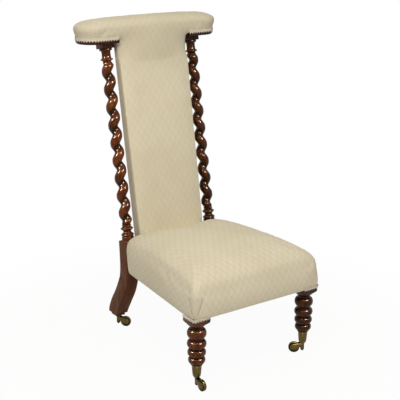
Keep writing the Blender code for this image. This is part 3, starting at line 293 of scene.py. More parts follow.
def smooth_shade(mesh, sharp):
    """Smooth shading, broken where two faces meet at more than so many degrees."""
    mesh.polygons.foreach_set("use_smooth", np.ones(len(mesh.polygons), bool))
    mesh.set_sharp_from_angle(angle=math.radians(sharp))
    mesh.update()


def mesh_points(mesh):
    """The mesh's points as an array."""
    points = np.empty(len(mesh.vertices) * 3)
    mesh.vertices.foreach_get("co", points)
    return points.reshape(-1, 3)


def mesh_normals(mesh):
    """The mesh's vertex normals as an array."""
    normals = np.empty(len(mesh.vertices) * 3)
    mesh.vertex_normals.foreach_get("vector", normals)
    return normals.reshape(-1, 3)


def set_points(mesh, points):
    """Puts points into the mesh."""
    mesh.vertices.foreach_set("co", np.ascontiguousarray(points).ravel())
    mesh.update()


def set_attribute(mesh, name, values):
    """Stores one vector for each point, as a pattern's coordinates."""
    layer = mesh.attributes.new(name, "FLOAT_VECTOR", "POINT")
    layer.data.foreach_set("vector", np.ascontiguousarray(values, dtype=np.float32).ravel())


def set_recess_shade(mesh, depth):
    """Keeps how deep each point of a turning lies, or how far under the rest, from 0 to 1: the material darkens it
    there, as painted shade and old polish.
    """
    depth = ease(depth)
    set_attribute(mesh, "recess", np.column_stack((depth, depth, depth)))


def scratch_object(mesh):
    """An object that only carries a mesh through modifiers."""
    scratch = bpy.data.objects.new(mesh.name + "_work", mesh)
    bpy.context.scene.collection.objects.link(scratch)
    return scratch


def finished_mesh(scratch, name):
    """The mesh as its modifiers leave it. The scratch object goes."""
    graph = bpy.context.evaluated_depsgraph_get()
    mesh = bpy.data.meshes.new_from_object(scratch.evaluated_get(graph))
    mesh.name = name
    bpy.data.objects.remove(scratch)
    return mesh


def refined(mesh, name, boundary="ALL"):
    """The mesh with its faces divided once and smoothed."""
    scratch = scratch_object(mesh)
    refine = scratch.modifiers.new("smooth", "SUBSURF")
    refine.levels = refine.render_levels = 1
    refine.boundary_smooth = boundary
    return finished_mesh(scratch, name)


SETTLE_FRAMES = 20


def settle(mesh, held, reach):
    """Points of the mesh after a cloth simulation under pressure and without gravity, in which the held points stay
    where they are. Each point's move is kept under the reach: a move d becomes reach tanh(d / reach)."""
    start = mesh_points(mesh)
    scene = bpy.context.scene
    cloth_object = scratch_object(mesh)
    group = cloth_object.vertex_groups.new(name="held")
    group.add(np.flatnonzero(held).tolist(), 1.0, "REPLACE")
    cloth = cloth_object.modifiers.new("stuffing", "CLOTH")
    cloth.settings.effector_weights.gravity = 0
    cloth.settings.use_pressure = True
    cloth.settings.uniform_pressure_force = sizes().stuffing_pressure
    cloth.settings.vertex_group_mass = "held"
    cloth.settings.quality = 5
    cloth.collision_settings.use_collision = False
    cloth.point_cache.frame_start, cloth.point_cache.frame_end = 1, SETTLE_FRAMES
    for number in range(1, SETTLE_FRAMES + 1):
        scene.frame_set(number)
    settled = finished_mesh(cloth_object, mesh.name + "_settled")
    move = mesh_points(settled) - start
    scene.frame_set(1)
    bpy.data.meshes.remove(settled)
    size = np.linalg.norm(move, axis=1, keepdims=True) + 1e-9
    return start + move / size * reach * np.tanh(size / reach)


def relax(mesh, points, amount, rounds):
    """Moves each point by its amount towards the mean of its neighbours, so many times."""
    edges = np.empty(len(mesh.edges) * 2, np.int64)
    mesh.edges.foreach_get("vertices", edges)
    one, other = edges.reshape(-1, 2).T
    count = np.bincount(np.concatenate((one, other)), minlength=len(points))[:, None]
    for _ in range(rounds):
        total = np.stack([np.bincount(one, points[other, axis], len(points)) +
                          np.bincount(other, points[one, axis], len(points)) for axis in range(3)], -1)
        points = points + amount[:, None] * (total / count - points)
    return points


def add_piece(name, mesh, material, body, stands_for):
    """Puts a finished mesh into the scene as a piece that rides on a body and stands for CAD nodes."""
    piece = bpy.data.objects.new(name, mesh)
    bpy.context.scene.collection.objects.link(piece)
    mesh.materials.clear()
    mesh.materials.append(material)
    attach(piece, body)
    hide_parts(*stands_for)
    return piece


# Materials

def add_node(tree, kind, settings=(), links=()):
    """Adds one shader node; settings name its own choices or its inputs, and links give an input its source."""
    node = tree.nodes.new("ShaderNode" + kind)
    for key, value in dict(settings).items():
        if isinstance(key, str) and key in node.bl_rna.properties:
            setattr(node, key, value)
        else:
            node.inputs[key].default_value = value
    for key, source in dict(links).items():
        tree.links.new(source, node.inputs[key])
    return node


def new_material(name):
    """An empty node material and its tree, or the one already made. No name here is one of the frame's own."""
    known = bpy.data.materials.get(name)
    if known:
        return known, None
    material = bpy.data.materials.new(name)
    material.use_nodes = True
    material.node_tree.nodes.clear()
    return material, material.node_tree


def finish_material(tree, settings, links, height=None, bump=0.0):
    """Ends a material in one surface shader, with a bump whose height is given in metres."""
    links = dict(links)
    if height is not None:
        links["Normal"] = add_node(tree, "Bump", {"Strength": 1.0, "Distance": bump}, {"Height": height}).outputs[0]
    shader = add_node(tree, "BsdfPrincipled", settings, links)
    add_node(tree, "OutputMaterial", links={"Surface": shader.outputs[0]})


def blend(tree, share, low, high):
    """A mix of two colours or sources by a share."""
    settings, links = {"data_type": "RGBA"}, {0: share}
    for key, value in ((6, low), (7, high)):
        if isinstance(value, bpy.types.NodeSocket):
            links[key] = value
        else:
            settings[key] = (*value, 1)
    return add_node(tree, "Mix", settings, links).outputs[2]


def spread(tree, value, low, high, to_low=0.0, to_high=1.0):
    """Maps a value from one range to another, smoothly and without overshoot."""
    return add_node(tree, "MapRange", {"interpolation_type": "SMOOTHSTEP", 1: low, 2: high, 3: to_low, 4: to_high},
                    {0: value}).outputs[0]


def calculate(tree, operation, one, other=0.0):
    """One sum of two values or sources."""
    settings, links = {"operation": operation}, {}
    for key, value in ((0, one), (1, other)):
        (links if isinstance(value, bpy.types.NodeSocket) else settings)[key] = value
    return add_node(tree, "Math", settings, links).outputs[0]


def noise(tree, vector, millimetres, detail=3.0, distortion=0.0):
    """Noise whose lumps are so many millimetres across."""
    return add_node(tree, "TexNoise", {"Scale": 1000 / millimetres, "Detail": detail, "Distortion": distortion},
                    {"Vector": vector}).outputs[0]


def scaled(tint, *factors):
    """A colour times one factor, or times one for each of its parts."""
    return tuple(np.multiply(tint, factors))


def attribute(tree, name):
    """The three parts of a vector that the mesh keeps for each point."""
    stored = add_node(tree, "Attribute", {"attribute_name": name}).outputs[1]
    return add_node(tree, "SeparateXYZ", links={0: stored}).outputs


def polished_walnut(name, dark, warm, stretch, roughness=0.2, polish=0.12):
    """French-polished walnut: turned or sawn, filled and rubbed with shellac. It gives a red-brown glow under a
    thin hard gloss, a dark figure a few centimetres long and fine darker pores along the grain. The wood is drawn
    darker towards the chair's right, as painted shade, and in the recesses, which the attribute recess
    finds, as painted shade and old polish. Its gloss is kept low, because the white surround would veil the
    wood; the polish lamps give the glints."""
    material, tree = new_material(name)
    if tree is None:
        return material
    place = add_node(tree, "TexCoord").outputs["Object"]
    grain = add_node(tree, "Mapping", {"Scale": stretch}, {"Vector": place}).outputs[0]
    figure = spread(tree, noise(tree, grain, 16.0, 4.0, 1.0), 0.2, 0.72)
    # Real pores are 0.1 mm wide. They are drawn 1 mm wide so that they show.
    pores = spread(tree, noise(tree, grain, 1.1, 2.0), 0.42, 0.62)
    streaked = blend(tree, figure, dark, warm)
    pored = blend(tree, calculate(tree, "MULTIPLY", calculate(tree, "SUBTRACT", 1.0, pores), 0.3), streaked,
                  scaled(dark, 0.5))
    patches = spread(tree, noise(tree, place, 45.0, 2.0), 0.3, 0.7, roughness * 0.8, roughness * 1.6)
    # Painted shade: the wood grows darker towards the chair's right.
    right = add_node(tree, "SeparateXYZ", links={0: place}).outputs[0]
    painted_shade_and_wax = add_node(tree, "Mix", {"data_type": "RGBA", "blend_type": "MULTIPLY", 7: (0.44, 0.5, 0.6, 1)},
                    {0: spread(tree, right, -0.1, 0.13), 6: pored}).outputs[2]
    # Painted shade, with old polish: the recesses are darker.
    recess = attribute(tree, "recess")[0]
    painted_shade_and_wax = blend(tree, calculate(tree, "MULTIPLY", recess, 0.85), painted_shade_and_wax, scaled(dark, 0.4))
    finish_material(tree, {"Coat Weight": polish, "Coat Roughness": 0.05, "Specular IOR Level": 0.1,
                           "Specular Tint": (1.0, 0.5, 0.25, 1.0)},
                    {"Base Color": painted_shade_and_wax, "Roughness": patches}, pores, 0.00006)
    return material


def turned_walnut():
    """Walnut of the turned legs, with its grain up the leg."""
    colours = finishes()
    return polished_walnut("turned_walnut", colours.walnut_dark, scaled(colours.walnut_warm, 0.82, 0.92, 1.25),
                           (1.0, 1.0, 0.16))


def twisted_walnut():
    """Walnut of the twist columns."""
    colours = finishes()
    return polished_walnut("twisted_walnut", colours.walnut_dark, colours.walnut_warm, (1.0, 1.0, 0.2))


def sawn_walnut():
    """Walnut of the square sabre legs, more open and matt."""
    plain = finishes().walnut_plain
    return polished_walnut("sawn_walnut", scaled(plain, 0.55), plain, (1.0, 0.6, 0.1), 0.45, 0.04)


def board_walnut():
    """Walnut of the rest's board, with its grain along the board."""
    colours = finishes()
    return polished_walnut("board_walnut", scaled(colours.walnut_dark, 0.5), scaled(colours.walnut_warm, 0.3),
                           (0.14, 1.0, 1.0), 0.2, 0.05)


def tarnished_brass():
    """Cast brass, lacquered long ago and tarnished since: an olive-gold metal, rubbed pale on its rims and
    brown-black in its recesses, low down and between the cheeks, partly dried dirt and polish and partly painted
    shade. The attribute grime says where those are."""
    material, tree = new_material("tarnished_brass")
    if tree is None:
        return material
    colours = finishes()
    place = add_node(tree, "TexCoord").outputs["Object"]
    grime = attribute(tree, "grime")[0]
    mottle = noise(tree, place, 4.0, 6.0)
    rubbed = spread(tree, mottle, 0.3, 0.72)
    dull = tuple(0.5 * (bright + dark) for bright, dark in zip(colours.brass_bright, colours.brass_dark))
    metal = blend(tree, rubbed, dull, colours.brass_bright)
    # Dirt and painted shade: darker in the recesses, low down and between the cheeks.
    dirt_and_shade = spread(tree, calculate(tree, "ADD", grime, calculate(tree, "MULTIPLY", mottle, 0.5)), 0.35, 0.85)
    dirt_and_shade_tone = blend(tree, dirt_and_shade, metal, scaled(colours.brass_dark, 0.35))
    finish_material(tree, {"Metallic": 0.9}, {"Base Color": dirt_and_shade_tone, "Roughness": spread(tree, dirt_and_shade, 0, 1, 0.26, 0.6)},
                    mottle, 0.00012)
    return material


def lozenge_damask():
    """Cream cotton damask, woven with a small half-drop lozenge figure: a soft matt cloth whose figure shows only
    as a slight change of tone, with fine upright ribs, a little sheen, faint soiling and painted shade. It reads
    the attribute cloth, which is the flat cloth's own x and y in metres and the figure's strength, a painted
    sheen, and fold, which finds the seat's corner pleats and the back's sides, both darkened as painted shade."""
    material, tree = new_material("lozenge_damask")
    if tree is None:
        return material
    colours, repeat, drop = finishes(), sizes().damask_repeat, sizes().damask_drop
    cloth = add_node(tree, "Attribute", {"attribute_name": "cloth"}).outputs[1]
    x, y, strength = add_node(tree, "SeparateXYZ", links={0: cloth}).outputs

    def wave(place, size):
        """A cosine of the cloth's x or y with one period to a size in metres."""
        return calculate(tree, "COSINE", calculate(tree, "MULTIPLY", place, math.tau / size))

    lozenge = calculate(tree, "MULTIPLY", wave(x, repeat), wave(y, drop))
    seeds = calculate(tree, "MULTIPLY", wave(x, repeat / 2), wave(y, drop / 4))
    plain = spread(tree, calculate(tree, "ADD", calculate(tree, "MULTIPLY", lozenge, 0.5), seeds), -1.3, 1.3)
    # The figure's strength differs by piece: painted sheen, for the figure shows more where light grazes the cloth.
    figure = calculate(tree, "ADD", 0.5, calculate(tree, "MULTIPLY", strength,
                                                   calculate(tree, "SUBTRACT", plain, 0.5)))
    # Real ribs are 0.5 mm apart. They are drawn 2.4 mm apart so that they show.
    ribs = calculate(tree, "SINE", calculate(tree, "MULTIPLY", x, math.tau / 0.0024))
    # A slub every few centimetres, and threads drawn 1.3 mm wide for the same reason.
    drawn_out = add_node(tree, "Mapping", {"Scale": (1.0, 0.08, 1.0)}, {"Vector": cloth}).outputs[0]
    slubs = noise(tree, drawn_out, 6.0, 4.0)
    threads = noise(tree, cloth, 1.3, 1.0)
    tone = blend(tree, figure, colours.damask_shade, colours.damask_light)
    streaks = blend(tree, spread(tree, slubs, 0.3, 0.7, 0.0, 0.22), tone, colours.damask_shade)
    place = add_node(tree, "TexCoord").outputs["Object"]
    patches = blend(tree, spread(tree, noise(tree, place, 110.0, 2.0), 0.35, 0.75, 0.0, 0.3), streaks,
                    scaled(colours.damask_shade, 0.93, 0.91, 0.86))
    # Painted shade and soiling: the cloth grows darker upward from 0.77 m, over the back's top under the rest and
    # over the rest, which hands and elbows have soiled.
    height = add_node(tree, "SeparateXYZ", links={0: place}).outputs[2]
    soil_and_shade = blend(tree, spread(tree, height, 0.77, 0.96, 0.0, 0.4), patches, scaled(colours.damask_shade, 0.72))
    # Painted shade: the cloth is darker inside a fold and along its edge.
    corner, edge, crease = attribute(tree, "fold")
    distance = calculate(tree, "SUBTRACT", corner, edge)
    line = spread(tree, calculate(tree, "ABSOLUTE", distance), 0.0004, 0.0022, 1.0, 0.0)
    line = calculate(tree, "MULTIPLY", line, crease)
    inside = calculate(tree, "MULTIPLY", spread(tree, distance, 0.0, -0.004), crease)
    painted_fold_shade = blend(tree, calculate(tree, "MULTIPLY", inside, 0.22), soil_and_shade, scaled(colours.damask_shade, 0.62))
    painted_fold_shade = blend(tree, calculate(tree, "MULTIPLY", line, 0.45), painted_fold_shade, scaled(colours.damask_shade, 0.3))
    relief = calculate(tree, "ADD", calculate(tree, "MULTIPLY", figure, 0.5),
                       calculate(tree, "ADD", calculate(tree, "MULTIPLY", ribs, 0.16),
                                 calculate(tree, "MULTIPLY", threads, 0.5)))
    relief = calculate(tree, "SUBTRACT", relief, calculate(tree, "MULTIPLY", line, 5.0))
    finish_material(tree, {"Roughness": 0.88, "Specular IOR Level": 0.22, "Sheen Weight": 0.12,
                           "Sheen Roughness": 0.5}, {"Base Color": painted_fold_shade}, relief, 0.00022)
    return material


def looped_gimp():
    """Cream cotton gimp, woven in looped cords: a matt pale cloth, darker between the cords as painted shade and
    dust.
    """
    material, tree = new_material("looped_gimp")
    if tree is None:
        return material
    cream = finishes().braid
    cloth = add_node(tree, "Attribute", {"attribute_name": "cloth"}).outputs[1]
    relief = add_node(tree, "SeparateXYZ", links={0: cloth}).outputs[2]
    threads = noise(tree, cloth, 0.9, 2.0)
    # Painted shade and dust: the cloth is darker between the cords.
    lifted = spread(tree, relief, 0.25, 0.85)
    tone = blend(tree, lifted, scaled(cream, 0.6), cream)
    finish_material(tree, {"Roughness": 0.85, "Specular IOR Level": 0.25, "Sheen Weight": 0.1},
                    {"Base Color": tone}, threads, 0.0002)
    return material


def planed_beech(name, stretch):
    """Planed beech of the hidden frame: pale pinkish tan, with short dark flecks and soft streaks along the grain."""
    material, tree = new_material(name)
    if tree is None:
        return material
    tan = finishes().beech
    place = add_node(tree, "TexCoord").outputs["Object"]
    grain = add_node(tree, "Mapping", {"Scale": stretch}, {"Vector": place}).outputs[0]
    streaks = spread(tree, noise(tree, grain, 9.0, 4.0), 0.3, 0.7)
    flecks = spread(tree, noise(tree, grain, 1.6, 1.0), 0.62, 0.72)
    tone = blend(tree, streaks, scaled(tan, 0.8), tan)
    flecked = blend(tree, flecks, tone, scaled(tan, 0.5))
    finish_material(tree, {"Roughness": 0.6, "Specular IOR Level": 0.35}, {"Base Color": flecked}, streaks, 0.0001)
    return material


def beech_rails():
    """Beech of the rails that run across the chair."""
    return planed_beech("beech_rails", (0.08, 1.0, 1.0))


def beech_side_rails():
    """Beech of the rails that run from front to back."""
    return planed_beech("beech_side_rails", (1.0, 0.08, 1.0))


def beech_stiles():
    """Beech of the upright stiles in the back."""
    return planed_beech("beech_stiles", (1.0, 1.0, 0.08))


def plain_cloth(name, tint, repeat_mm, depth):
    """Plain-woven cloth: two crossing sets of threads, two threads to a repeat, darker between the threads."""
    material, tree = new_material(name)
    if tree is None:
        return material
    place = add_node(tree, "TexCoord").outputs["Object"]
    part = add_node(tree, "SeparateXYZ", links={0: place})
    upright = calculate(tree, "ADD", part.outputs[1], part.outputs[2])
    waves = [calculate(tree, "SINE", calculate(tree, "MULTIPLY", axis, math.tau * 1000 / repeat_mm))
             for axis in (part.outputs[0], upright)]
    weave = spread(tree, calculate(tree, "MULTIPLY", *waves), -0.6, 0.6)
    uneven = spread(tree, noise(tree, place, 14.0, 4.0), 0.3, 0.7, 0.0, 0.35)
    tone = blend(tree, weave, scaled(tint, 0.55), tint)
    tone = blend(tree, uneven, tone, scaled(tint, 0.7))
    finish_material(tree, {"Roughness": 0.92, "Specular IOR Level": 0.2}, {"Base Color": tone}, weave, depth)
    return material


def jute_web():
    """Jute webbing: coarse tan threads, drawn 3 mm wide as they are."""
    return plain_cloth("jute_web", finishes().jute, 6.0, 0.0006)


def open_hessian():
    """Hessian: open brown cloth of 1.5 mm threads."""
    return plain_cloth("open_hessian", finishes().hessian, 3.0, 0.0004)


def cambric_lining():
    """Black cambric lining: a thin dull cloth, whose 0.5 mm threads are drawn 1 mm wide so that they show."""
    return plain_cloth("cambric_lining", finishes().lining, 2.0, 0.0002)


def coppered_wire():
    """Coppered spring wire: a bright orange-brown metal, dulled in patches."""
    material, tree = new_material("coppered_wire")
    if tree is None:
        return material
    tint = finishes().copper
    place = add_node(tree, "TexCoord").outputs["Object"]
    dull = spread(tree, noise(tree, place, 12.0, 4.0), 0.35, 0.7)
    tone = blend(tree, dull, tint, scaled(tint, 0.4))
    finish_material(tree, {"Metallic": 1.0}, {"Base Color": tone, "Roughness": spread(tree, dull, 0, 1, 0.25, 0.6)})
    return material


# Turned front legs

def front_leg_profile():
    """Toe, collar, four half-elliptic bobbins that grow upward with narrow necks, and the cove under the block. The
    bobbins' middles, half lengths and radii are shares of the turning's length and of the block's half width."""
    neck = sizes().bobbin_neck
    low = 0.0757                                      # where the bobbins start
    span = BLOCK_BOTTOM - low
    profile = [(0, 0.0398), (0.0097, 0.0398), (0.0138, 0.0737), (0.0140, 0.0742), (0.0158, 0.0746),
               (0.0178, 0.0755), (0.0190, 0.0768), (0.0193, 0.0780), (0.0190, 0.0792), (0.0187, 0.0800)]
    for middle, half, radius in zip((0.112, 0.297, 0.512, 0.772), (0.072, 0.083, 0.094, 0.112),
                                    (0.886, 0.956, 1.0, 1.0)):
        angle = np.linspace(-math.pi / 2, math.pi / 2, 19)
        swell = radius * BLOCK_HALF - neck
        profile += list(zip(neck + swell * np.cos(angle), low + span * (middle + half * np.sin(angle))))
    cove = smooth_curve(((neck, low + span * 0.905), (neck, low + span * 0.925), (neck + 0.001, low + span * 0.945),
                         (neck + 0.0032, low + span * 0.966), (neck + 0.0068, low + span * 0.983),
                         (0.0275, BLOCK_BOTTOM)), 5)
    return profile + cove.tolist() + [(0.0275, BLOCK_BOTTOM + 0.002), (0, BLOCK_BOTTOM + 0.002)]


def square_block():
    """The square above the turning, whose lower corners are turned away: its plan grows from round to square."""
    top = SEAT_UNDERSIDE - GAP - BLOCK_BOTTOM
    levels = ((0.0, 0.0272, 0.0268), (0.0012, 0.0279, 0.0235), (0.0026, 0.0283, 0.0175),
              (0.0040, BLOCK_HALF, 0.0105), (0.0054, BLOCK_HALF, 0.0045), (0.0066, BLOCK_HALF, 0.0011),
              (top, BLOCK_HALF, 0.0011))
    return loft([at_height(rounded_rectangle(half, half, corner), BLOCK_BOTTOM + rise)
                 for rise, half, corner in levels])


class BuildFrontLegs(bpy.types.Operator):
    """Turn the two bobbin legs with their square blocks"""
    bl_idname = "prie_dieu.front_legs"
    bl_label = "Front legs"

    def execute(self, context):
        # Inside the seat the post is 6 mm narrower on its two outer sides, to leave room for the stuffing.
        outer = BLOCK_HALF - 0.006
        half, shift = (BLOCK_HALF + outer) / 2, (BLOCK_HALF - outer) / 2
        for name, side in SIDES.items():
            post = block(half, half, SEAT_UNDERSIDE - 0.002, RAIL_TOP, 0.0008)
            shells = [lathe(front_leg_profile(), 96), square_block(),
                      placed(post, Matrix.Translation((-side * shift, shift, 0)))]
            spot = Matrix.Translation((side * FRONT_LEG_X, FRONT_LEG_Y, 0))
            mesh = piece_mesh("turned_leg_" + name, [placed(shell, spot) for shell in shells])
            x, y, z = mesh_points(mesh).T
            radius = np.hypot(np.abs(x) - FRONT_LEG_X, y - FRONT_LEG_Y)
            # Painted shade and old polish: the necks and the cove between the bobbins are darkened.
            set_recess_shade(mesh, np.where(z > 0.076, (0.0232 - radius) / 0.0045, 0.0))
            add_piece("turned_leg_" + name, mesh, turned_walnut(), "chair", ["front_leg_" + name])
        return {"FINISHED"}


# Sabre rear legs

# Shares of the leg's height and of its sweep, for its rear and its front edge
SABRE_BACK_SHARES = ((1.0, 0.0), (0.73, -0.055), (0.6, -0.035), (0.515, 0.046), (0.335, 0.392),
                     (0.2, 0.72), (0.088, 0.93), (0.04, 0.993), (0.0, 1.0))
SABRE_FRONT_SHARES = ((1.0, 0.0), (0.647, -0.02), (0.56, 0.015), (0.471, 0.073), (0.3375, 0.262),
                      (0.2026, 0.56), (0.0506, 0.9), (0.0, 0.99))
REAR_SWEEP, REAR_DEPTH, REAR_WIDTH = 0.0745, 0.0448, 0.044


def sabre_leg(side):
    """Rounded rectangles carried down the leg; their front and back follow smooth curves through the sweep, and the
    topmost lean to meet the raked column's foot."""
    share = np.concatenate(([1.0, 0.997, 0.99], np.linspace(0.97, 0.02, 60), [0.008, 0.002, 0.0]))
    edges = []
    for table, edge in ((SABRE_BACK_SHARES, REAR_DEPTH / 2), (SABRE_FRONT_SHARES, -REAR_DEPTH / 2)):
        curve = smooth_curve(table, 8)[::-1]
        edges.append(COLUMN_FOOT_Y + edge + REAR_SWEEP * np.interp(share, curve[:, 0], curve[:, 1]))
    back, front = edges
    rise = REAR_LEG_TOP - REAR_FOOT_HEIGHT
    wear = sizes().edge_wear
    rings = []
    for here, rear_y, front_y in zip(share, back, front):
        inset = wear * max(0.0, 1 - min(1 - here, here) * rise / wear)
        half = (rear_y - front_y) / 2 - inset
        outline = rounded_rectangle(REAR_WIDTH / 2 - inset, half, wear)
        y = outline[:, 1] + (rear_y + front_y) / 2
        slope = -(y - COLUMN_FOOT_Y) * TAN_RAKE * max(0.0, (here - 0.9) / 0.1)
        rings.append(np.column_stack((outline[:, 0], y, REAR_FOOT_HEIGHT + here * rise + slope)))
    toe = block(REAR_WIDTH / 2 - 0.006, REAR_DEPTH / 2 - 0.006, REAR_FOOT_HEIGHT - TOE_HEIGHT,
                REAR_FOOT_HEIGHT + 0.002, 0.001)
    shells = [loft(rings), placed(toe, Matrix.Translation((0, REAR_CASTOR_Y, 0)))]
    return [placed(shell, Matrix.Translation((side * REAR_LEG_X, 0, 0))) for shell in shells]


class BuildRearLegs(bpy.types.Operator):
    """Saw the two square sabre legs with their stepped toes"""
    bl_idname = "prie_dieu.rear_legs"
    bl_label = "Rear legs"

    def execute(self, context):
        for name, side in SIDES.items():
            mesh = piece_mesh("sabre_leg_" + name, sabre_leg(side))
            add_piece("sabre_leg_" + name, mesh, sawn_walnut(), "chair", ["rear_leg_" + name])
        return {"FINISHED"}


# Twist columns

COLUMN_RADIUS, ROD_RADIUS, FOOT_LENGTH, HEAD_LENGTH = 0.0205, 0.0143, 0.052, 0.0399
CAPITAL_HALF, CAPITAL_HEIGHT = 0.0208, 0.0185
RIDGE_HEIGHT, RIDGE_DIRECTION = 0.5578, math.radians(-35.45)    # a place on the axis, and where the ridge is there
# Shares of the length and of the radius of the turned rings at the column's foot and head
FOOT_SHARES = ((0.0, 0.93), (0.004, 0.95), (0.2, 0.95), (0.215, 0.93), (0.23, 0.84), (0.25, 0.83), (0.29, 0.9),
               (0.354, 1.0), (0.427, 0.87), (0.5, 0.65), (0.575, 0.63), (0.635, 0.76), (0.735, 0.985), (0.81, 0.82),
               (0.875, 0.63), (0.9, 0.64), (0.92, 0.73), (0.955, 0.73), (0.975, 0.68), (1.0, 0.6))
HEAD_SHARES = ((0.0, 0.6), (0.04, 0.68), (0.06, 0.74), (0.11, 0.92), (0.16, 0.96), (0.2, 0.93), (0.24, 0.78),
               (0.3, 0.72), (0.4, 0.69), (0.55, 0.68), (0.7, 0.69), (0.77, 0.72), (0.82, 0.8), (0.84, 0.92),
               (0.9, 0.98), (0.96, 0.97), (1.0, 0.92))


def twist_column(side):
    """A broad round ridge wound up the axis beside a narrow groove: r = groove + (ridge - groove) (1 - s^1.5), where
    s = (1 - cos a) / 2 and a is measured from the ridge's direction, which turns once each pitch. At both ends the
    twist fades into a plain rod, and turned rings follow. Each ring of the surface has 64 points."""
    size, steps = sizes(), 64
    column = (BOARD_BOTTOM - REAR_LEG_TOP) / math.cos(RAKE) - CAPITAL_HEIGHT
    head = column - HEAD_LENGTH
    span = head - FOOT_LENGTH
    turned_foot, turned_head = smooth_curve(FOOT_SHARES, 4), smooth_curve(HEAD_SHARES, 4)
    rings_to_a_turn = 26
    height = np.linspace(FOOT_LENGTH, head, round(span / size.twist_pitch * rings_to_a_turn))[1:-1]
    fullness = ease(np.minimum(height - FOOT_LENGTH, head - height) / 0.014)[:, None]
    direction = RIDGE_DIRECTION + math.tau * (height - RIDGE_HEIGHT) / size.twist_pitch
    angle = np.arange(steps) * math.tau / steps
    swing = angle[None, :] - direction[:, None]
    ridge = (1 - ((1 - np.cos(swing)) / 2) ** 1.5) * (size.twist_ridge - size.twist_groove) + size.twist_groove
    twist = ROD_RADIUS + (ridge - ROD_RADIUS) * fullness
    radius = np.concatenate((np.repeat(turned_foot[:, 1:] * COLUMN_RADIUS, steps, 1), twist,
                             np.repeat(turned_head[:, 1:] * COLUMN_RADIUS, steps, 1)))
    height = np.concatenate((turned_foot[:, 0] * FOOT_LENGTH, height, head + turned_head[:, 0] * HEAD_LENGTH))
    rings = np.stack((side * -radius * np.cos(angle), radius * np.sin(angle),
                      np.repeat(height[:, None], steps, 1)), -1)
    capital = []
    for inset, level in ((0.0008, column), (0.0002, column + 0.0002), (0.0, column + 0.0008), (0.0, None)):
        outline = rounded_rectangle(CAPITAL_HALF - inset, CAPITAL_HALF - inset, 0.0006)
        top = (BOARD_BOTTOM - GAP - REAR_LEG_TOP + outline[:, 1] * math.sin(RAKE)) / math.cos(RAKE)
        capital.append(at_height(outline, top if level is None else level))
    turn = Matrix.Translation((side * REAR_LEG_X, COLUMN_FOOT_Y, REAR_LEG_TOP)) @ Matrix.Rotation(-RAKE, 4, "X")
    return [placed(shell, turn) for shell in (loft(rings), loft(capital))]


class BuildTwistColumns(bpy.types.Operator):
    """Carve the mirrored pair of barley-twist columns"""
    bl_idname = "prie_dieu.twist_columns"
    bl_label = "Twist columns"

    def execute(self, context):
        for name, side in SIDES.items():
            mesh = piece_mesh("barley_twist_" + name, twist_column(side))
            x, y, z = mesh_points(mesh).T
            radius = np.hypot(np.abs(x) - REAR_LEG_X, (y - column_y(z)) * math.cos(RAKE))
            # Painted shade: the columns' tops, under the rest, are darkened.
            painted_shade_under_rest = ease((z - 0.905) / 0.015) * 0.7
            set_recess_shade(mesh, np.maximum((0.0172 - radius) / 0.0065, painted_shade_under_rest))
            add_piece("barley_twist_" + name, mesh, twisted_walnut(), "chair", ["twist_column_" + name])
        return {"FINISHED"}


# Castors

SWIVELS = {"front_left": -90.0, "front_right": 138.0, "rear_left": -51.0, "rear_right": 160.0}
WHEEL_RADIUS, WHEEL_HALF = 0.0175, 0.0046
CHEEK_INNER = WHEEL_HALF + 0.0004


def wheel_shell():
    """Brass wheel turned about its axle: crowned tread with two fine grooves, dished faces and a raised hub."""
    side = ((0.002, 0.0046), (0.0052, 0.0046), (0.0062, 0.0042), (0.0066, 0.0034), (0.0085, 0.0029), (0.0120, 0.0029),
            (0.0136, 0.0033), (0.0141, 0.0043), (0.0147, 0.0046), (0.0162, 0.0046), (0.0170, 0.0043),
            (0.01735, 0.0036), (0.0174, 0.0026), (0.0171, 0.0023), (0.0174, 0.0020), (0.0175, 0.0010))
    profile = list(side) + [(WHEEL_RADIUS, 0.0)] + [(radius, -height) for radius, height in side[::-1]]
    steps = 64
    points, faces = lathe(profile, steps)
    last = (len(profile) - 1) * steps
    faces += [[k, (k + 1) % steps, last + (k + 1) % steps, last + k] for k in range(steps)]
    return placed((points, faces), Matrix.Rotation(math.pi / 2, 4, "X"))


def axle_shell():
    """Pin with a domed, peened head at each end."""
    half, pin, wide, dome = CHEEK_INNER + 0.0019, 0.0019, 0.0033, 0.0011
    head = [(wide * math.sin(angle), half + dome * math.cos(angle)) for angle in np.linspace(0, math.pi / 2, 7)]
    profile = head + [(wide, half), (pin, half), (pin, -half), (wide, -half)]
    profile += [(radius, -height) for radius, height in head[::-1]]
    return placed(lathe(profile, 40), Matrix.Rotation(math.pi / 2, 4, "X"))


def cheek_shell(side):
    """One cheek of the horn: a disc round the axle that tapers to the boss, bevelled and slightly domed outside."""
    first, last, radius = math.radians(105), math.radians(205), 0.0122
    angle = first - np.linspace(0, 1, 44) * (math.tau - last + first)
    disc = np.stack((CASTOR_TRAIL + radius * np.cos(angle), WHEEL_RADIUS + radius * np.sin(angle)), -1)
    outline = np.vstack(((-0.0005, 0.0328), (0.006, 0.0327), disc, (0.006, 0.0196), (-0.0005, 0.0213)))
    middle = np.array((CASTOR_TRAIL, WHEEL_RADIUS))
    dome = ((1.0, 0.0), (1.0, 0.0012), (0.985, 0.0017), (0.95, 0.0019), (0.8, 0.0023), (0.5, 0.0026), (0.25, 0.0027))
    rings = [at_height(outline, CHEEK_INNER)]
    rings += [at_height(middle + (outline - middle) * scale, CHEEK_INNER + rise) for scale, rise in dome]
    rings = np.array(rings)[:, :, (0, 2, 1)] * (1, side, 1)
    inside, outside = (np.broadcast_to((CASTOR_TRAIL, ring[0, 1], WHEEL_RADIUS), (1, len(outline), 3))
                       for ring in rings[[0, -1]])
    return loft(np.concatenate((inside, rings, outside)), ends="open")


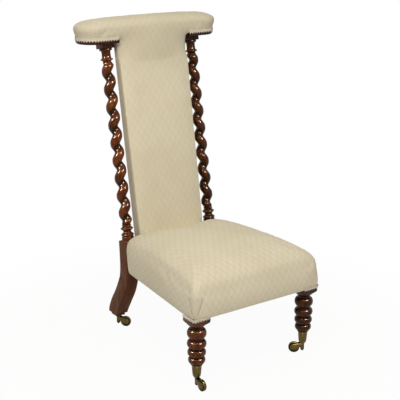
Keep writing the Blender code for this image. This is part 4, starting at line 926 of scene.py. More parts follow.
def horn_shells():
    """Boss about the pintle, with a bead under it, and the two cheeks."""
    boss = [(0, 0.0076), (0.0022, 0.0077), (0.0036, 0.0082), (0.0042, 0.0092), (0.0042, 0.0102), (0.0050, 0.0110),
            (0.0057, 0.0120), (0.00575, 0.0300), (0.0064, 0.0315), (0.0078, 0.0328), (0.0080, 0.0342),
            (0.0076, 0.0348), (0, 0.0348)]
    return [lathe(boss, 48), cheek_shell(1), cheek_shell(-1)]


def cup_shell():
    """Tapered cup round the leg's toe, with a rolled rim and a turned line under it, on a collar over the horn."""
    rim = CASTOR_TOP + 0.0388
    return lathe([(0, 0.0397), (0.0098, 0.0397), (0.0140, rim - 0.0006), (0.0145, rim), (0.0152, rim - 0.0001),
                  (0.0157, rim - 0.0008), (0.0157, rim - 0.0018), (0.0153, rim - 0.0025), (0.0150, rim - 0.0030),
                  (0.0147, rim - 0.0055), (0.0144, rim - 0.0059), (0.0145, rim - 0.0063), (0.0127, 0.0445),
                  (0.0124, 0.0428), (0.0122, 0.0420), (0.0116, 0.0392), (0.0107, 0.0372), (0.0096, 0.0358),
                  (0.0086, 0.0351), (0.0082, 0.0350), (0, 0.0350)])


def plate_shell():
    """Round plate screwed under the rear leg's toe, with a turned collar below it."""
    top = REAR_FOOT_HEIGHT - TOE_HEIGHT - GAP
    return lathe([(0, top), (0.0132, top), (0.0135, top - 0.0003), (0.0135, top - 0.0018), (0.0130, top - 0.0022),
                  (0.0096, top - 0.0026), (0.0088, top - 0.0032), (0.0085, 0.0352), (0.0083, 0.0350), (0, 0.0350)])


def set_grime_and_shade(mesh, centre, axis, wheel):
    """Dirt and painted shade by place: on a wheel inside its rim and a little on its tread, on a cup or plate,
    whose axis is upright, at its foot, and on a horn or axle low down and between the cheeks."""
    height = mesh_points(mesh)[:, 2]
    points = mesh_points(mesh) - centre
    beside = points @ axis
    away = np.linalg.norm(points - beside[:, None] * axis, axis=1)
    if wheel:
        dirt_and_shade = ease((0.0160 - away) / 0.002) + 0.25 * ease((away - 0.0165) / 0.001)
    elif axis[2] > 0.5:
        dirt_and_shade = 0.5 * ease((0.0375 - height) / 0.003)
    else:
        between = ease((WHEEL_HALF + 0.0008 - np.abs(beside)) / 0.0004)
        dirt_and_shade = 0.2 + 0.5 * ease((0.012 - height) / 0.006) + 0.45 * between
    set_attribute(mesh, "grime", np.outer(dirt_and_shade, (1, 0, 0)))


class BuildCastors(bpy.types.Operator):
    """Cast the four brass castors: cup or plate, horn, wheel and axle"""
    bl_idname = "prie_dieu.castors"
    bl_label = "Castors"

    def execute(self, context):
        for corner, degrees in SWIVELS.items():
            end, side = corner.split("_")
            front = end == "front"
            pivot = Vector((SIDES[side] * (FRONT_LEG_X if front else REAR_LEG_X),
                            FRONT_LEG_Y if front else REAR_CASTOR_Y, 0))
            swivel = Matrix.Translation(pivot) @ Matrix.Rotation(math.radians(degrees), 4, "Z")
            hub = swivel @ Matrix.Translation((CASTOR_TRAIL, 0, WHEEL_RADIUS))
            axis = np.array(swivel.to_3x3() @ Vector((0, 1, 0)))
            still = Matrix.Translation(pivot)
            parts = (
                ("castor_socket_", [placed(cup_shell() if front else plate_shell(), still)], "chair",
                 "castor_cup_" if front else "castor_plate_", np.array((0.0, 0.0, 1.0))),
                ("castor_fork_", [placed(shell, swivel) for shell in horn_shells()], "castor_" + corner,
                 "castor_horn_", axis),
                ("castor_roller_", [placed(wheel_shell(), hub)], "wheel_" + corner, "castor_wheel_", axis),
                ("castor_rivet_", [placed(axle_shell(), hub)], "castor_" + corner, "castor_axle_", axis))
            for label, shells, body, node, about in parts:
                mesh = piece_mesh(label + corner, shells)
                centre = np.array(hub.translation if label in ("castor_roller_", "castor_fork_") else pivot)
                set_grime_and_shade(mesh, centre, about, label == "castor_roller_")
                add_piece(label + corner, mesh, tarnished_brass(), body, [node + corner])
        return {"FINISHED"}


# Arm rest board

# The back's front and rear, counted from the columns' axis, and its half width: at the seat frame, under the rest
PANEL_FRONT_OFFSETS, PANEL_REAR_OFFSETS, PANEL_HALF_WIDTHS = (0.0195, 0.030), (0.019, -0.0005), (0.1235, 0.1285)


def up_the_back(ends, height):
    """A size that changes evenly from the seat frame up to the arm rest."""
    share = (height - RAIL_TOP) / (BOARD_BOTTOM - RAIL_TOP)
    return ends[0] + share * (ends[1] - ends[0])


def rest_flare(height):
    """How far the middle of the back's front comes forward under the rest: an ease over the last 75 mm."""
    return 0.0165 * ease((height - BOARD_BOTTOM + 0.075) / 0.075)


def panel_front(height):
    """The y of the back's front at a height, with its flare."""
    return column_y(height) - up_the_back(PANEL_FRONT_OFFSETS, height) - rest_flare(height)


def panel_rear(height):
    """The y of the back's flat rear at a height."""
    return column_y(height) + up_the_back(PANEL_REAR_OFFSETS, height)


# The notch in the board's rear edge, through which the back passes
NOTCH_HALF = 0.13
NOTCH_Y = panel_rear(BOARD_BOTTOM) - 0.0176


def board_shell():
    """Stadium outline, straight across the back's notch, inset ring by ring for a moulded lower edge."""
    centres, outward = stadium(81, 48)
    base = centres + outward * BOARD_HALF_DEPTH
    notched = (np.abs(base[:, 0]) < NOTCH_HALF) & (outward[:, 1] < -0.5)
    keep = ~notched
    first = np.flatnonzero(notched)[0]
    notch = np.array([(NOTCH_HALF, base[0, 1]), (NOTCH_HALF, NOTCH_Y), (-NOTCH_HALF, NOTCH_Y),
                      (-NOTCH_HALF, base[0, 1])])
    points = np.concatenate((base[:first], notch, base[first:][keep[first:]]))
    normals = np.concatenate((outward[:first], np.array(((0, -1.0), (0, 0), (0, 0), (0, -1.0))),
                              outward[first:][keep[first:]]))
    moulding = ((0.0042, 0.0), (0.0034, 0.0001), (0.0027, 0.0006), (0.0024, 0.0014), (0.0021, 0.0022),
                (0.0012, 0.0028), (0.0005, 0.0035), (0.0001, 0.0045), (0.0, 0.0056), (0.0, 0.0095),
                (0.0003, 0.0108), (0.001, 0.0115))
    return loft([at_height(points - normals * inset, BOARD_BOTTOM + height) for inset, height in moulding],
                ends="flat")


class BuildRestBoard(bpy.types.Operator):
    """Shape the walnut board under the arm rest"""
    bl_idname = "prie_dieu.rest_board"
    bl_label = "Rest board"

    def execute(self, context):
        mesh = piece_mesh("rest_shelf", [board_shell()], 30)
        add_piece("rest_shelf", mesh, board_walnut(), "chair", ["rest_board"])
        return {"FINISHED"}


# Upholstery

def hand_worked(points, normals, amount):
    """Slight unevenness of hand stuffing: a sum of slow sine waves along the normals."""
    x, y, z = (points * math.tau).T
    wave = (np.sin(x / 0.083 + y / 0.19 + 1.3) * np.sin(z / 0.071 + 0.4) + 0.7 * np.sin(y / 0.061 + x / 0.23)
            + 0.6 * np.sin(z / 0.113 + x / 0.047 + 2.1))
    return points + normals * (amount * wave / 2.3)[:, None]


def straightened(points, back=1):
    """Points with the back's rake and taper taken out below the rest, or with -1 put in again."""
    x, y, z = points.T
    low = np.minimum(z, BOARD_BOTTOM)
    share = up_the_back(PANEL_HALF_WIDTHS, low) / PANEL_HALF_WIDTHS[1]
    lean = column_y(low) - up_the_back(PANEL_FRONT_OFFSETS, low) - column_y(BOARD_BOTTOM) + PANEL_FRONT_OFFSETS[1]
    return np.column_stack((x * share ** -back, y - lean * back, z))


def back_form():
    """Closed body of the back's stuffing, straightened: square sections with tight corners. Under the rest the
    middle comes forward, where the cloth rounds into it."""
    half, half_depth = PANEL_HALF_WIDTHS[1] - 0.0006, 0.034
    front = column_y(BOARD_BOTTOM) - PANEL_FRONT_OFFSETS[1] + 0.0012
    across = np.linspace(-1, 1, 33)[1:-1] * (half - 0.006)
    front_edge = np.column_stack((across, np.full(len(across), -half_depth)))
    corners = rounded_rectangle(half, half_depth, 0.005, 3)
    outline = np.vstack((corners[:12], front_edge, corners[12:]))
    ahead = outline[:, 1] < 0
    rings = []
    for height in np.concatenate((np.linspace(0.2845, 0.855, 24), np.linspace(0.862, 0.957, 16))):
        flare = rest_flare(height) * ease((half - np.abs(outline[:, 0])) / 0.06)
        y = outline[:, 1] + front + half_depth - flare * ahead
        rings.append(at_height(np.column_stack((outline[:, 0], y)), height))
    return loft(rings)


# Shares of the rest's height and of its overhang
REST_SHARES = ((0.0, -0.1), (0.06, 0.0), (0.15, 0.12), (0.3, 0.47), (0.45, 0.82), (0.58, 1.0), (0.7, 0.88),
               (0.8, 0.3), (0.885, -0.85), (0.95, -2.3), (0.985, -3.8), (1.0, -5.2))


def rest_form():
    """Closed body of the rest's stuffing: stadium rings whose profile swells over the board and rolls over the top,
    drawn together on the stadium's middle line above and below."""
    size = sizes()
    centres, outward = stadium(60, 30)
    rings = []
    for height, out in smooth_curve(REST_SHARES, 3):
        reach = BOARD_HALF_DEPTH + out * size.rest_overhang - 0.0016 * ease(height / 0.3)
        ring = centres + outward * reach
        crown = 0.005 * height * (1 - (ring[:, 0] / BOARD_HALF_LENGTH) ** 2)
        rings.append(at_height(ring, BOARD_TOP + GAP + height * (size.rest_height - 0.0015) + crown))
    middle = centres * (1, 0) + (0, REST_MIDDLE_Y)
    top = rings[-1].copy()
    top[:, :2] = middle
    top[:, 2] += 0.0012
    base = rings[0].copy()
    base[:, :2] = middle
    return loft([base] + rings + [top], ends="open")


def cut_away(mesh, name, cutters):
    """The mesh with each closed cutter taken off exactly."""
    scratch = scratch_object(mesh)
    tools = []
    for number, shell in enumerate(cutters):
        tool = scratch_object(piece_mesh("cutter_%d" % number, [shell]))
        tools.append(tool)
        cutter = scratch.modifiers.new("cut_%d" % number, "BOOLEAN")
        cutter.object, cutter.operation, cutter.solver = tool, "DIFFERENCE", "MANIFOLD"
    result = finished_mesh(scratch, name)
    for tool in tools:
        bpy.data.objects.remove(tool)
    return result


def box_shell(low, high):
    """A plain box between two corners."""
    (x0, y0, z0), (x1, y1, z1) = low, high
    return loft([[(x0, y0, z), (x1, y0, z), (x1, y1, z), (x0, y1, z)] for z in (z0, z1)], ends="flat")


def raked_box(half_widths, front, rear, low, high):
    """A box that leans with the back: half widths at its lower and upper end, and front and rear counted from the
    back's rear."""
    rings = []
    for half, height in zip(half_widths, (low, high)):
        near, far = panel_rear(height) + front, panel_rear(height) + rear
        rings.append([(-half, near, height), (half, near, height), (half, far, height), (-half, far, height)])
    return loft(rings, ends="flat")


def back_cloth(points):
    """The flat cloth's x and y: (x, y) on the rest's top, drawn out by the drop at its sides and by the way down the
    back, where the figure is a fifth taller; round the back's sides x goes on growing with the depth. The third
    part is the figure's strength, which is greater on the rest: painted sheen, for the figure shows more where
    light grazes the cloth."""
    x, y, z = points.T
    inner = np.clip(x, -BOARD_REACH, BOARD_REACH)
    away = np.hypot(x - inner, y - REST_MIDDLE_Y) + 1e-9
    top, turn = 1.003, 0.93                           # heights of the rest's top and of its cloth's lower end
    drop = np.where(z > turn, top - z, top - turn + (turn - z) * 0.832)
    wide = ease((0.955 - z) / 0.03)
    u_rest = x + (x - inner) / away * drop
    v_rest = y + (y - REST_MIDDLE_Y) / away * drop
    half = up_the_back(PANEL_HALF_WIDTHS, z)
    front = panel_front(z)
    beside = ease((np.abs(x) - half + 0.012) / 0.008)
    u_back = x + np.sign(x) * np.maximum(0, y - front - 0.006) * beside
    v_back = np.minimum(y, front + 0.004) - drop
    return np.column_stack((u_rest + (u_back - u_rest) * wide, v_rest + (v_back - v_rest) * wide,
                            1.4 - 0.65 * wide))


def painted_shade_sides(points):
    """Painted shade on the back's narrow sides beside the columns, in the terms of corner_fold: they are told
    as cloth well inside a fold, which the material darkens."""
    x, y, z = points.T
    beside = ease((np.abs(x) - up_the_back(PANEL_HALF_WIDTHS, z) + 0.0035) / 0.003)
    share = beside * ease((y - panel_front(z) - 0.001) / 0.004) * ease((BOARD_BOTTOM - z) / 0.02)
    return np.column_stack((np.zeros_like(x), np.full_like(x, 0.03), share * 2))


def junction_share(points):
    """How far the cloth between the back and the rest is smoothed: fully in the hollow under the rest, in front of
    the notch, and not at all where it lies on the board's edge."""
    x, y, z = points.T
    share = (ease((0.166 - np.abs(x)) / 0.03) * ease((z - 0.868) / 0.03) * ease((0.985 - z) / 0.03)
             * ease((NOTCH_Y - 0.004 - y) / 0.006))
    rim = ease((np.abs(x) - 0.127) / 0.006) * ease((BOARD_TOP + 0.016 - z) / 0.008)
    rim *= ease((z - BOARD_BOTTOM + 0.004) / 0.004)
    return share * (1 - rim)


def nailed(points):
    """Where the back's cover is fixed: its rear, its hem on the board and in the notch, its lower end and the corners
    of its sides."""
    x, y, z = points.T
    held = (y > panel_rear(z) - 0.008) & (z < 0.94)
    held |= (z < BOARD_TOP + 0.005) & (z > BOARD_BOTTOM - 0.003) & (np.abs(x) > 0.126)
    held |= (z < BOARD_TOP + 0.004) & (y > NOTCH_Y - 0.006) & (z > BOARD_BOTTOM - 0.01)
    held |= z < 0.30
    held |= (np.abs(x) > up_the_back(PANEL_HALF_WIDTHS, z) - 0.0045) & (z < BOARD_BOTTOM - 0.03)
    return held


def tacked_down(points):
    """Points with small hollows above the rest's braid, where a tack each 26 mm holds the cover, and with the hem
    lifted onto the board."""
    x, y, z = points.T
    inner = np.clip(x, -BOARD_REACH, BOARD_REACH)
    away = np.stack((x - inner, y - REST_MIDDLE_Y), -1)
    away /= np.linalg.norm(away, axis=1, keepdims=True) + 1e-9
    bend = np.arctan2(np.abs(away[:, 0]), np.abs(away[:, 1])) * BOARD_HALF_DEPTH
    round_about = np.where(away[:, 1] < 0, x, -x) + np.sign(away[:, 0]) * bend
    tacks = np.abs(np.cos(math.pi * round_about / 0.026)) ** 6 * np.exp(-((z - 0.9535) / 0.004) ** 2)
    tacks = tacks * ease((np.abs(x) - 0.14 + 0.05 * (away[:, 1] > 0)) / 0.01)
    place = np.column_stack((x, y)) - away * (0.0011 * tacks)[:, None]
    hem = (np.abs(place[:, 0]) > 0.132) & (z > BOARD_BOTTOM - 0.01) & (z < BOARD_TOP + 0.004)
    return np.column_stack((place, np.where(hem, np.maximum(z, BOARD_TOP + GAP), z)))


# The room between the rear legs, where the outside cover goes on down over the rear seat rail
COVER_LOW_HALF = 0.1362


def outside_cover():
    """Closed sheet on the back's rear, stretched from the seat's underside to the board: thin at its tacked edges,
    and slightly domed between them by the wadding under it."""
    rows, columns = 70, 34
    height = np.concatenate(([SEAT_UNDERSIDE + 0.0003],
                             np.linspace(SEAT_UNDERSIDE + 0.001, BOARD_BOTTOM - 0.0015, rows - 2),
                             [BOARD_BOTTOM - 0.0006]))
    across = np.sin(np.linspace(-math.pi / 2, math.pi / 2, columns))
    half = np.where(height < RAIL_TOP, COVER_LOW_HALF, up_the_back(PANEL_HALF_WIDTHS, height) - 0.0002)
    half = half + (COVER_LOW_HALF - half) * ease((RAIL_TOP + 0.004 - height) / 0.006)
    near = panel_rear(np.maximum(height, RAIL_TOP)) + GAP * 1.5
    from_end = np.minimum(height - height[0], height[-1] - height)
    edge = np.minimum(1 - np.abs(across)[None, :], (from_end / half)[:, None])
    thick = 0.0004 + 0.0011 * np.sqrt(np.clip(edge / 0.012, 0, 1)) + 0.0009 * np.sqrt(np.clip(edge, 0, 1))
    x = half[:, None] * across[None, :]
    z = np.repeat(height[:, None], columns, 1)
    front = np.stack((x, np.repeat(near[:, None], columns, 1), z), -1)
    rear = front + np.stack((np.zeros_like(x), thick, np.zeros_like(x)), -1)
    return loft(np.concatenate((front, rear[:, ::-1]), 1), ends="flat")


class BuildBackUpholstery(bpy.types.Operator):
    """Stuff and cover the T-shaped back and arm rest, and close the back's rear"""
    bl_idname = "prie_dieu.back_upholstery"
    bl_label = "Back and rest upholstery"

    def execute(self, context):
        scratch = scratch_object(piece_mesh("back_and_rest", [back_form(), rest_form()]))
        remesh = scratch.modifiers.new("one_body", "REMESH")
        remesh.mode, remesh.voxel_size, remesh.adaptivity = "VOXEL", 0.005, 0.0
        mesh = finished_mesh(scratch, "back_and_rest")
        points = relax(mesh, mesh_points(mesh), np.full(len(mesh.vertices), 0.5), 2)
        points = straightened(points, -1)
        junction = junction_share(points)
        points = relax(mesh, points, 0.55 * junction, 14)
        set_points(mesh, points)
        points = settle(mesh, nailed(points), 0.0032)
        points = relax(mesh, points, 0.6 * junction, 40)
        set_points(mesh, points)
        mesh = refined(mesh, "back_and_rest")
        set_points(mesh, tacked_down(hand_worked(mesh_points(mesh), mesh_normals(mesh), 0.0006)))
        # The stuffing is hollow where the back's frame stands, open behind, and open where the board is.
        inner_half = [up_the_back(PANEL_HALF_WIDTHS, height) - 0.004 for height in (0.26, BOARD_BOTTOM)]
        frame_room = raked_box(inner_half, -0.0196, 0.05, 0.26, BOARD_BOTTOM)
        behind = raked_box((0.2, 0.2), 0.0, 0.04, 0.25, BOARD_BOTTOM + 0.001)
        board_room = box_shell((-0.15, NOTCH_Y - GAP, BOARD_BOTTOM - 0.0008), (0.15, 0.36, BOARD_TOP + GAP / 2))
        mesh = cut_away(mesh, "back_and_rest", [frame_room, behind, board_room])
        smooth_shade(mesh, 50)
        points = mesh_points(mesh)
        set_attribute(mesh, "cloth", back_cloth(points))
        set_attribute(mesh, "fold", painted_shade_sides(points))
        piece = add_piece("back_and_rest", mesh, lozenge_damask(), "chair", ["back_pad", "rest_pad"])

        mesh = piece_mesh("outside_back", [outside_cover()], 60)
        x, _, z = mesh_points(mesh).T
        # The figure's strength is painted sheen: the figure shows more where light grazes the cloth.
        strength = np.full_like(x, 0.4)
        set_attribute(mesh, "cloth", np.column_stack((x, z / math.cos(RAKE), strength)))
        cover = add_piece("outside_back", mesh, lozenge_damask(), "chair", ["back_outside_cover"])
        return {"FINISHED"}


SEAT_FRONT_Y, SEAT_REAR_Y, SEAT_HALF, SEAT_TAPER = -0.32195, 0.14355, 0.2345, 0.1179
SEAT_MIDDLE_Y, SEAT_HALF_LENGTH = (SEAT_FRONT_Y + SEAT_REAR_Y) / 2, (SEAT_REAR_Y - SEAT_FRONT_Y) / 2
SEAT_END_Y = 0.1243                                   # where the cover ends, against the rear legs
# Shares of the rolled edge's inset and of its rise
SEAT_SHARES = ((0.002, -0.13), (0.003, 0.0), (0.011, 0.177), (0.028, 0.346), (0.056, 0.485), (0.106, 0.608),
               (0.181, 0.723), (0.3, 0.831), (0.4875, 0.923), (0.82, 1.0))
SIDE_STEPS = 56


def side_places():
    """Places along one side of a unit square, closer together towards its corners: p = t (1.5 - 0.5 t^2)."""
    t = np.linspace(-1, 1, SIDE_STEPS + 1)
    return t * (1.5 - 0.5 * t * t)


def seat_border():
    """Points round the unit square, side by side."""
    along, one = side_places()[:-1], np.ones(SIDE_STEPS)
    sides = (along, -one), (one, along), (-along, one), (-one, -along)
    return np.concatenate([np.stack(pair, -1) for pair in sides])


def seat_half_width(y):
    """Half the seat's width at a y: it tapers evenly towards the rear."""
    return SEAT_HALF - (y - SEAT_FRONT_Y) * SEAT_TAPER


def seat_plan(unit, inset, radius):
    """A unit-square place on the tapered, rounded plan, and its outward direction. A corner's quarter circle takes
    what lies past it; then x shrinks evenly towards the rear."""
    half = np.array((SEAT_HALF - inset, SEAT_HALF_LENGTH - inset))
    place = unit * half
    core = np.clip(place, -(half - radius), half - radius)
    away = place - core
    away = away / (np.linalg.norm(away, axis=1, keepdims=True) + 1e-9)
    place = core + away * radius
    y = place[:, 1] + SEAT_MIDDLE_Y
    return np.column_stack((place[:, 0] * (seat_half_width(y) - inset) / half[0], y)), away


def worn_hollow(plan):
    """How far use has sunk the seat's rear, in front of the back: 9 mm, a little right of the middle."""
    return 0.009 * np.exp(-((plan[:, 0] - 0.025) / 0.085) ** 2) * ease((plan[:, 1] + 0.02) / 0.12)


def seat_corner(height, inset):
    """Radius of the plan's corners: 11 mm at the hem, 21 mm over the wall, and more as the roll comes in."""
    return 0.011 + 0.010 * ease((height - 0.24) / 0.06) + inset * 0.42


def seat_levels():
    """Inset, height and share of the roll's rise of each level: from the hem up the wall, then over the rolled edge
    by a smooth curve."""
    wall = [(0.0032, 0.0), (0.0021, 0.003), (0.0009, 0.008)]
    wall += [(0.0003 * ease((rise - 0.04) / 0.022), rise) for rise in np.linspace(0.014, 0.062, 8)]
    levels = [(inset, SEAT_UNDERSIDE + rise, 0.0) for inset, rise in wall]
    curve = smooth_curve(SEAT_SHARES, 4)[4:]
    return levels + [(inset * 0.16, SEAT_UNDERSIDE + 0.07 + rise * 0.065, rise) for inset, rise in curve]


def seat_form():
    """The levels' rings, then a grid of points inside the last one. Returns points, faces, outward directions and
    the cloth's length from the top."""
    unit, levels = seat_border(), seat_levels()
    insets = np.array([inset for inset, _, _ in levels])
    heights = np.array([height for _, height, _ in levels])
    steps = np.hypot(np.diff(insets), np.diff(heights))
    dropped = np.concatenate((np.cumsum(steps[::-1])[::-1], [0.0]))
    rings, outs = [], []
    for inset, height, rise in levels:
        plan, away = seat_plan(unit, inset, seat_corner(height, inset))
        along = (plan[:, 1] - SEAT_MIDDLE_Y) / SEAT_HALF_LENGTH
        lifted = sizes().seat_crown * ease(rise / 0.585) * (1 - along ** 2) - worn_hollow(plan) * ease(rise / 0.7)
        rings.append(at_height(plan, height + lifted))
        outs.append(away)
    points = np.concatenate(rings)
    outward = np.concatenate(outs)
    extra = np.repeat(dropped - (insets[-1] - insets), len(unit))
    faces = grid_faces(len(levels), len(unit))
    along = side_places()
    grid = np.stack(np.meshgrid(along, along, indexing="ij"), -1).reshape(-1, 2)
    most = np.abs(grid).max(1)
    safe = np.where(most > 0, most, 1)[:, None]
    plan, _ = seat_plan(grid / safe, insets[-1], seat_corner(heights[-1], insets[-1]))
    centre = np.array((0.0, SEAT_MIDDLE_Y))
    plan = centre + (plan - centre) * most[:, None]
    lift = sizes().seat_crown * (1 - ((plan[:, 1] - SEAT_MIDDLE_Y) / SEAT_HALF_LENGTH) ** 2)
    lift += 0.0035 * (1 - most ** 2)
    lift -= worn_hollow(plan)
    top = np.column_stack((plan, heights[-1] + lift))
    inner = most < 1 - 1e-6
    side = SIDE_STEPS + 1
    index = np.arange(side * side).reshape(side, side)
    number = np.full(side * side, -1)
    number[inner.nonzero()[0]] = len(points) + np.arange(inner.sum())
    # The grid's border is the last ring, side by side.
    start = (len(levels) - 1) * len(unit)
    k = np.arange(SIDE_STEPS)
    number[index[k, 0]] = start + k
    number[index[SIDE_STEPS, k]] = start + SIDE_STEPS + k
    number[index[SIDE_STEPS - k, SIDE_STEPS]] = start + 2 * SIDE_STEPS + k
    number[index[0, SIDE_STEPS - k]] = start + 3 * SIDE_STEPS + k
    numbered = number[index]
    patch = np.stack((numbered[:-1, :-1], numbered[1:, :-1], numbered[1:, 1:], numbered[:-1, 1:]), -1).reshape(-1, 4)
    points = np.concatenate((points, top[inner]))
    outward = np.concatenate((outward, np.zeros((inner.sum(), 2))))
    extra = np.concatenate((extra, np.zeros(inner.sum())))
    faces += patch.tolist() + [list(range(len(unit)))]
    return points, faces, outward, extra


def seat_end(points):
    """Keeps the seat's rear off the back and the rear legs: y is held under the back's front face."""
    x, y, z = points.T
    beside = ease((np.abs(x) - 0.118) / 0.008)
    limit = (panel_front(z) - 0.0016) * (1 - beside) + np.minimum(SEAT_END_Y, panel_front(z)) * beside
    return np.column_stack((x, np.minimum(y, limit), z))


def corner_fold(points):
    """Coordinates of the corner pleats. The first is the distance round the corner, less on the side; the second
    is where the fold's edge lies at that height; the third fades the fold out over its height."""
    x, y, z = points.T
    on_front = seat_half_width(y) - np.abs(x)
    on_side = y - SEAT_FRONT_Y
    # The fold starts 34 and 29 mm from the corner, comes in by 20 and 19 mm on its way down, and closes at the hem.
    down = np.clip((0.297 - z) / 0.055, 0, 1)
    closing = np.sqrt(np.clip((z - 0.2345) / 0.010, 0, 1))
    front_edge = (0.034 - 0.020 * down) * closing
    side_edge = (0.029 - 0.019 * down) * closing
    front_face = on_front > on_side
    distance = np.where(front_face, on_front, on_side)
    edge = np.where(front_face, front_edge, side_edge)
    fade = ease((0.2955 - z) / 0.010) * ease((z - 0.230) / 0.005) * (np.minimum(on_front, on_side) < 0.016)
    fade = fade * np.where(front_face & (x > 0), 0.0, 1.0)
    return np.column_stack((distance, edge, fade))


def seat_room(hem_ring):
    """Lining of the room inside the seat, from the hem round the rails and over the sprung hessian."""
    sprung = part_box("seat_hessian")[1].z + 0.0015
    rings = [hem_ring]
    for inset, height in ((0.0096, SEAT_UNDERSIDE), (0.0096, RAIL_TOP + 0.0005), (0.036, RAIL_TOP + 0.0005),
                          (0.075, sprung), (0.2, sprung)):
        plan, _ = seat_plan(seat_border(), inset, 0.004)
        plan[:, 1] = np.minimum(plan[:, 1], SEAT_END_Y - 0.0009)
        rings.append(at_height(plan, height))
    points, faces = loft(rings, ends="open")
    faces.append(list(range(len(points) - len(hem_ring), len(points))))
    return points, faces


class BuildSeat(bpy.types.Operator):
    """Stuff and cover the seat, with a pleat at each front corner"""
    bl_idname = "prie_dieu.seat"
    bl_label = "Seat"

    def execute(self, context):
        points, faces, outward, extra = seat_form()
        points = seat_end(points)
        flat = points[:, :2] + outward * extra[:, None]
        # The figure's strength is painted sheen: the figure shows more where light grazes the cloth.
        strength = np.full(len(points), 1.05)
        mesh = bpy.data.meshes.new("seat_stuffing")
        mesh.from_pydata(points.tolist(), [], faces)
        set_attribute(mesh, "cloth", np.column_stack((flat, strength)))
        held = (points[:, 2] < SEAT_UNDERSIDE + 0.004) | (points[:, 1] > SEAT_END_Y - 0.003)
        points = seat_end(settle(mesh, held, 0.0045))
        set_points(mesh, points)
        form = bmesh.new()
        form.from_mesh(mesh)
        underside = max(form.faces, key=lambda face: len(face.verts))
        bmesh.ops.delete(form, geom=[underside], context="FACES_ONLY")
        form.to_mesh(mesh)
        form.free()
        lining = piece_mesh("seat_inside", [seat_room(mesh_points(mesh)[:4 * SIDE_STEPS])], 40)
        mesh = refined(mesh, "sprung_seat", "PRESERVE_CORNERS")
        points, normals = mesh_points(mesh), mesh_normals(mesh)
        pleat = corner_fold(points)
        tuck = ease((pleat[:, 1] - pleat[:, 0]) / 0.004) * pleat[:, 2] * 0.0011
        points = hand_worked(points - normals * tuck[:, None], normals, 0.0005)
        set_points(mesh, seat_end(points))
        set_attribute(mesh, "fold", pleat)
        form = bmesh.new()
        form.from_mesh(mesh)
        form.from_mesh(lining)
        bmesh.ops.remove_doubles(form, verts=form.verts, dist=1e-6)
        form.to_mesh(mesh)
        form.free()
        smooth_shade(mesh, 50)
        piece = add_piece("sprung_seat", mesh, lozenge_damask(), "chair", ["seat_cushion"])
        return {"FINISHED"}


# Braids

# Heights of each braid's lower and upper edge, without its teeth, and the length of those
REST_BRAID, REST_TOOTH = (0.9452, 0.9527), 0.0062
LEG_BRAID, LEG_TOOTH = (0.2212, 0.2302), 0.0042


def braid_shell(path, outward, edges, tooth, lean):
    """Scalloped gimp carried along a path of (x, y, z) points. Its section has a flat back and a face with an upper
    cord, two cords that cross in waves and a lower one along the teeth, in which the lower edge hangs, one to a
    pitch. The lean is how far the back stands off the path at the upper edge. Each section has 15 points on its
    face and 15 on its back. Returns the shell and the braid's own coordinates: along, up and relief."""
    size = sizes()
    lower, upper = edges
    along = np.concatenate(([0.0], np.cumsum(np.linalg.norm(np.diff(path, axis=0), axis=1))))
    phase = math.pi * along / size.braid_pitch
    share = np.linspace(0, 1, 15)
    scallop = lower - tooth * (1 - np.abs(np.sin(phase)))
    rise = scallop[:, None] + (upper - scallop)[:, None] * share
    wave = 0.17 * np.sin(2 * phase)[:, None]
    cords = (np.exp(-((share - 0.9) / 0.11) ** 2) * np.ones_like(wave),
             np.exp(-((share - 0.45 - wave) / 0.13) ** 2), np.exp(-((share - 0.45 + wave) / 0.13) ** 2),
             np.exp(-((share - 0.08) / 0.1) ** 2) * (0.55 + 0.45 * np.abs(np.sin(phase)))[:, None])
    beads = 0.8 + 0.2 * np.cos(4 * phase)[:, None]
    relief = np.maximum.reduce(cords) * beads
    proud = size.braid_relief * (0.3 + 0.7 * relief)
    proud = proud * np.minimum(1, 12 * np.minimum(share, 1 - share) + 0.25)
    tip = np.clip(np.minimum(along, along[-1] - along) / 0.002, 0.3, 1)[:, None]
    back = np.where(lean > 0, lean * share, lean * ease((share - 0.3) / 0.5))
    face = path[:, None, :] + outward[:, None, :] * (back + proud * tip)[..., None]
    face[..., 2] += rise
    rear = path[:, None, :] + outward[:, None, :] * np.broadcast_to(back, proud.shape)[..., None]
    rear[..., 2] += rise
    ring = np.concatenate((face, rear[:, ::-1]), 1)
    cloth = np.stack((np.repeat(along[:, None], len(share), 1), rise, relief), -1)
    return loft(ring, ends="flat"), np.concatenate((cloth, cloth[:, ::-1]), 1).reshape(-1, 3)


def add_braid(name, shell_and_cloth, node):
    """One braid as a piece, with its cloth coordinates kept for the threads and for the painted shade and dust
    between the cords.
    """
    (points, faces), cloth = shell_and_cloth
    mesh = bpy.data.meshes.new(name)
    mesh.from_pydata(points.tolist(), [], faces)
    form = bmesh.new()
    form.from_mesh(mesh)
    bmesh.ops.recalc_face_normals(form, faces=form.faces)
    form.to_mesh(mesh)
    form.free()
    smooth_shade(mesh, 60)
    set_attribute(mesh, "cloth", cloth)
    return add_piece(name, mesh, looped_gimp(), "chair", [node])


def block_edge():
    """Points (x, y) and outward directions from the rear round the left block's outer side, its corner and its
    front, about the leg's axis."""
    half, radius, steps = BLOCK_HALF + 0.0006, 0.0035, 120
    run = np.linspace(0, 1, steps) * (2 * half - radius)
    bend = np.linspace(0, math.pi / 2, 24)[1:-1]
    side = np.column_stack((np.full(steps, -half), half - run))
    corner = np.column_stack((-half + radius - radius * np.cos(bend), -half + radius - radius * np.sin(bend)))
    front = np.column_stack((-half + radius + run, np.full(steps, -half)))
    outward = np.concatenate((np.broadcast_to((-1.0, 0), (steps, 2)),
                              -np.column_stack((np.cos(bend), np.sin(bend))),
                              np.broadcast_to((0, -1.0), (steps, 2))))
    return np.concatenate((side, corner, front)), outward


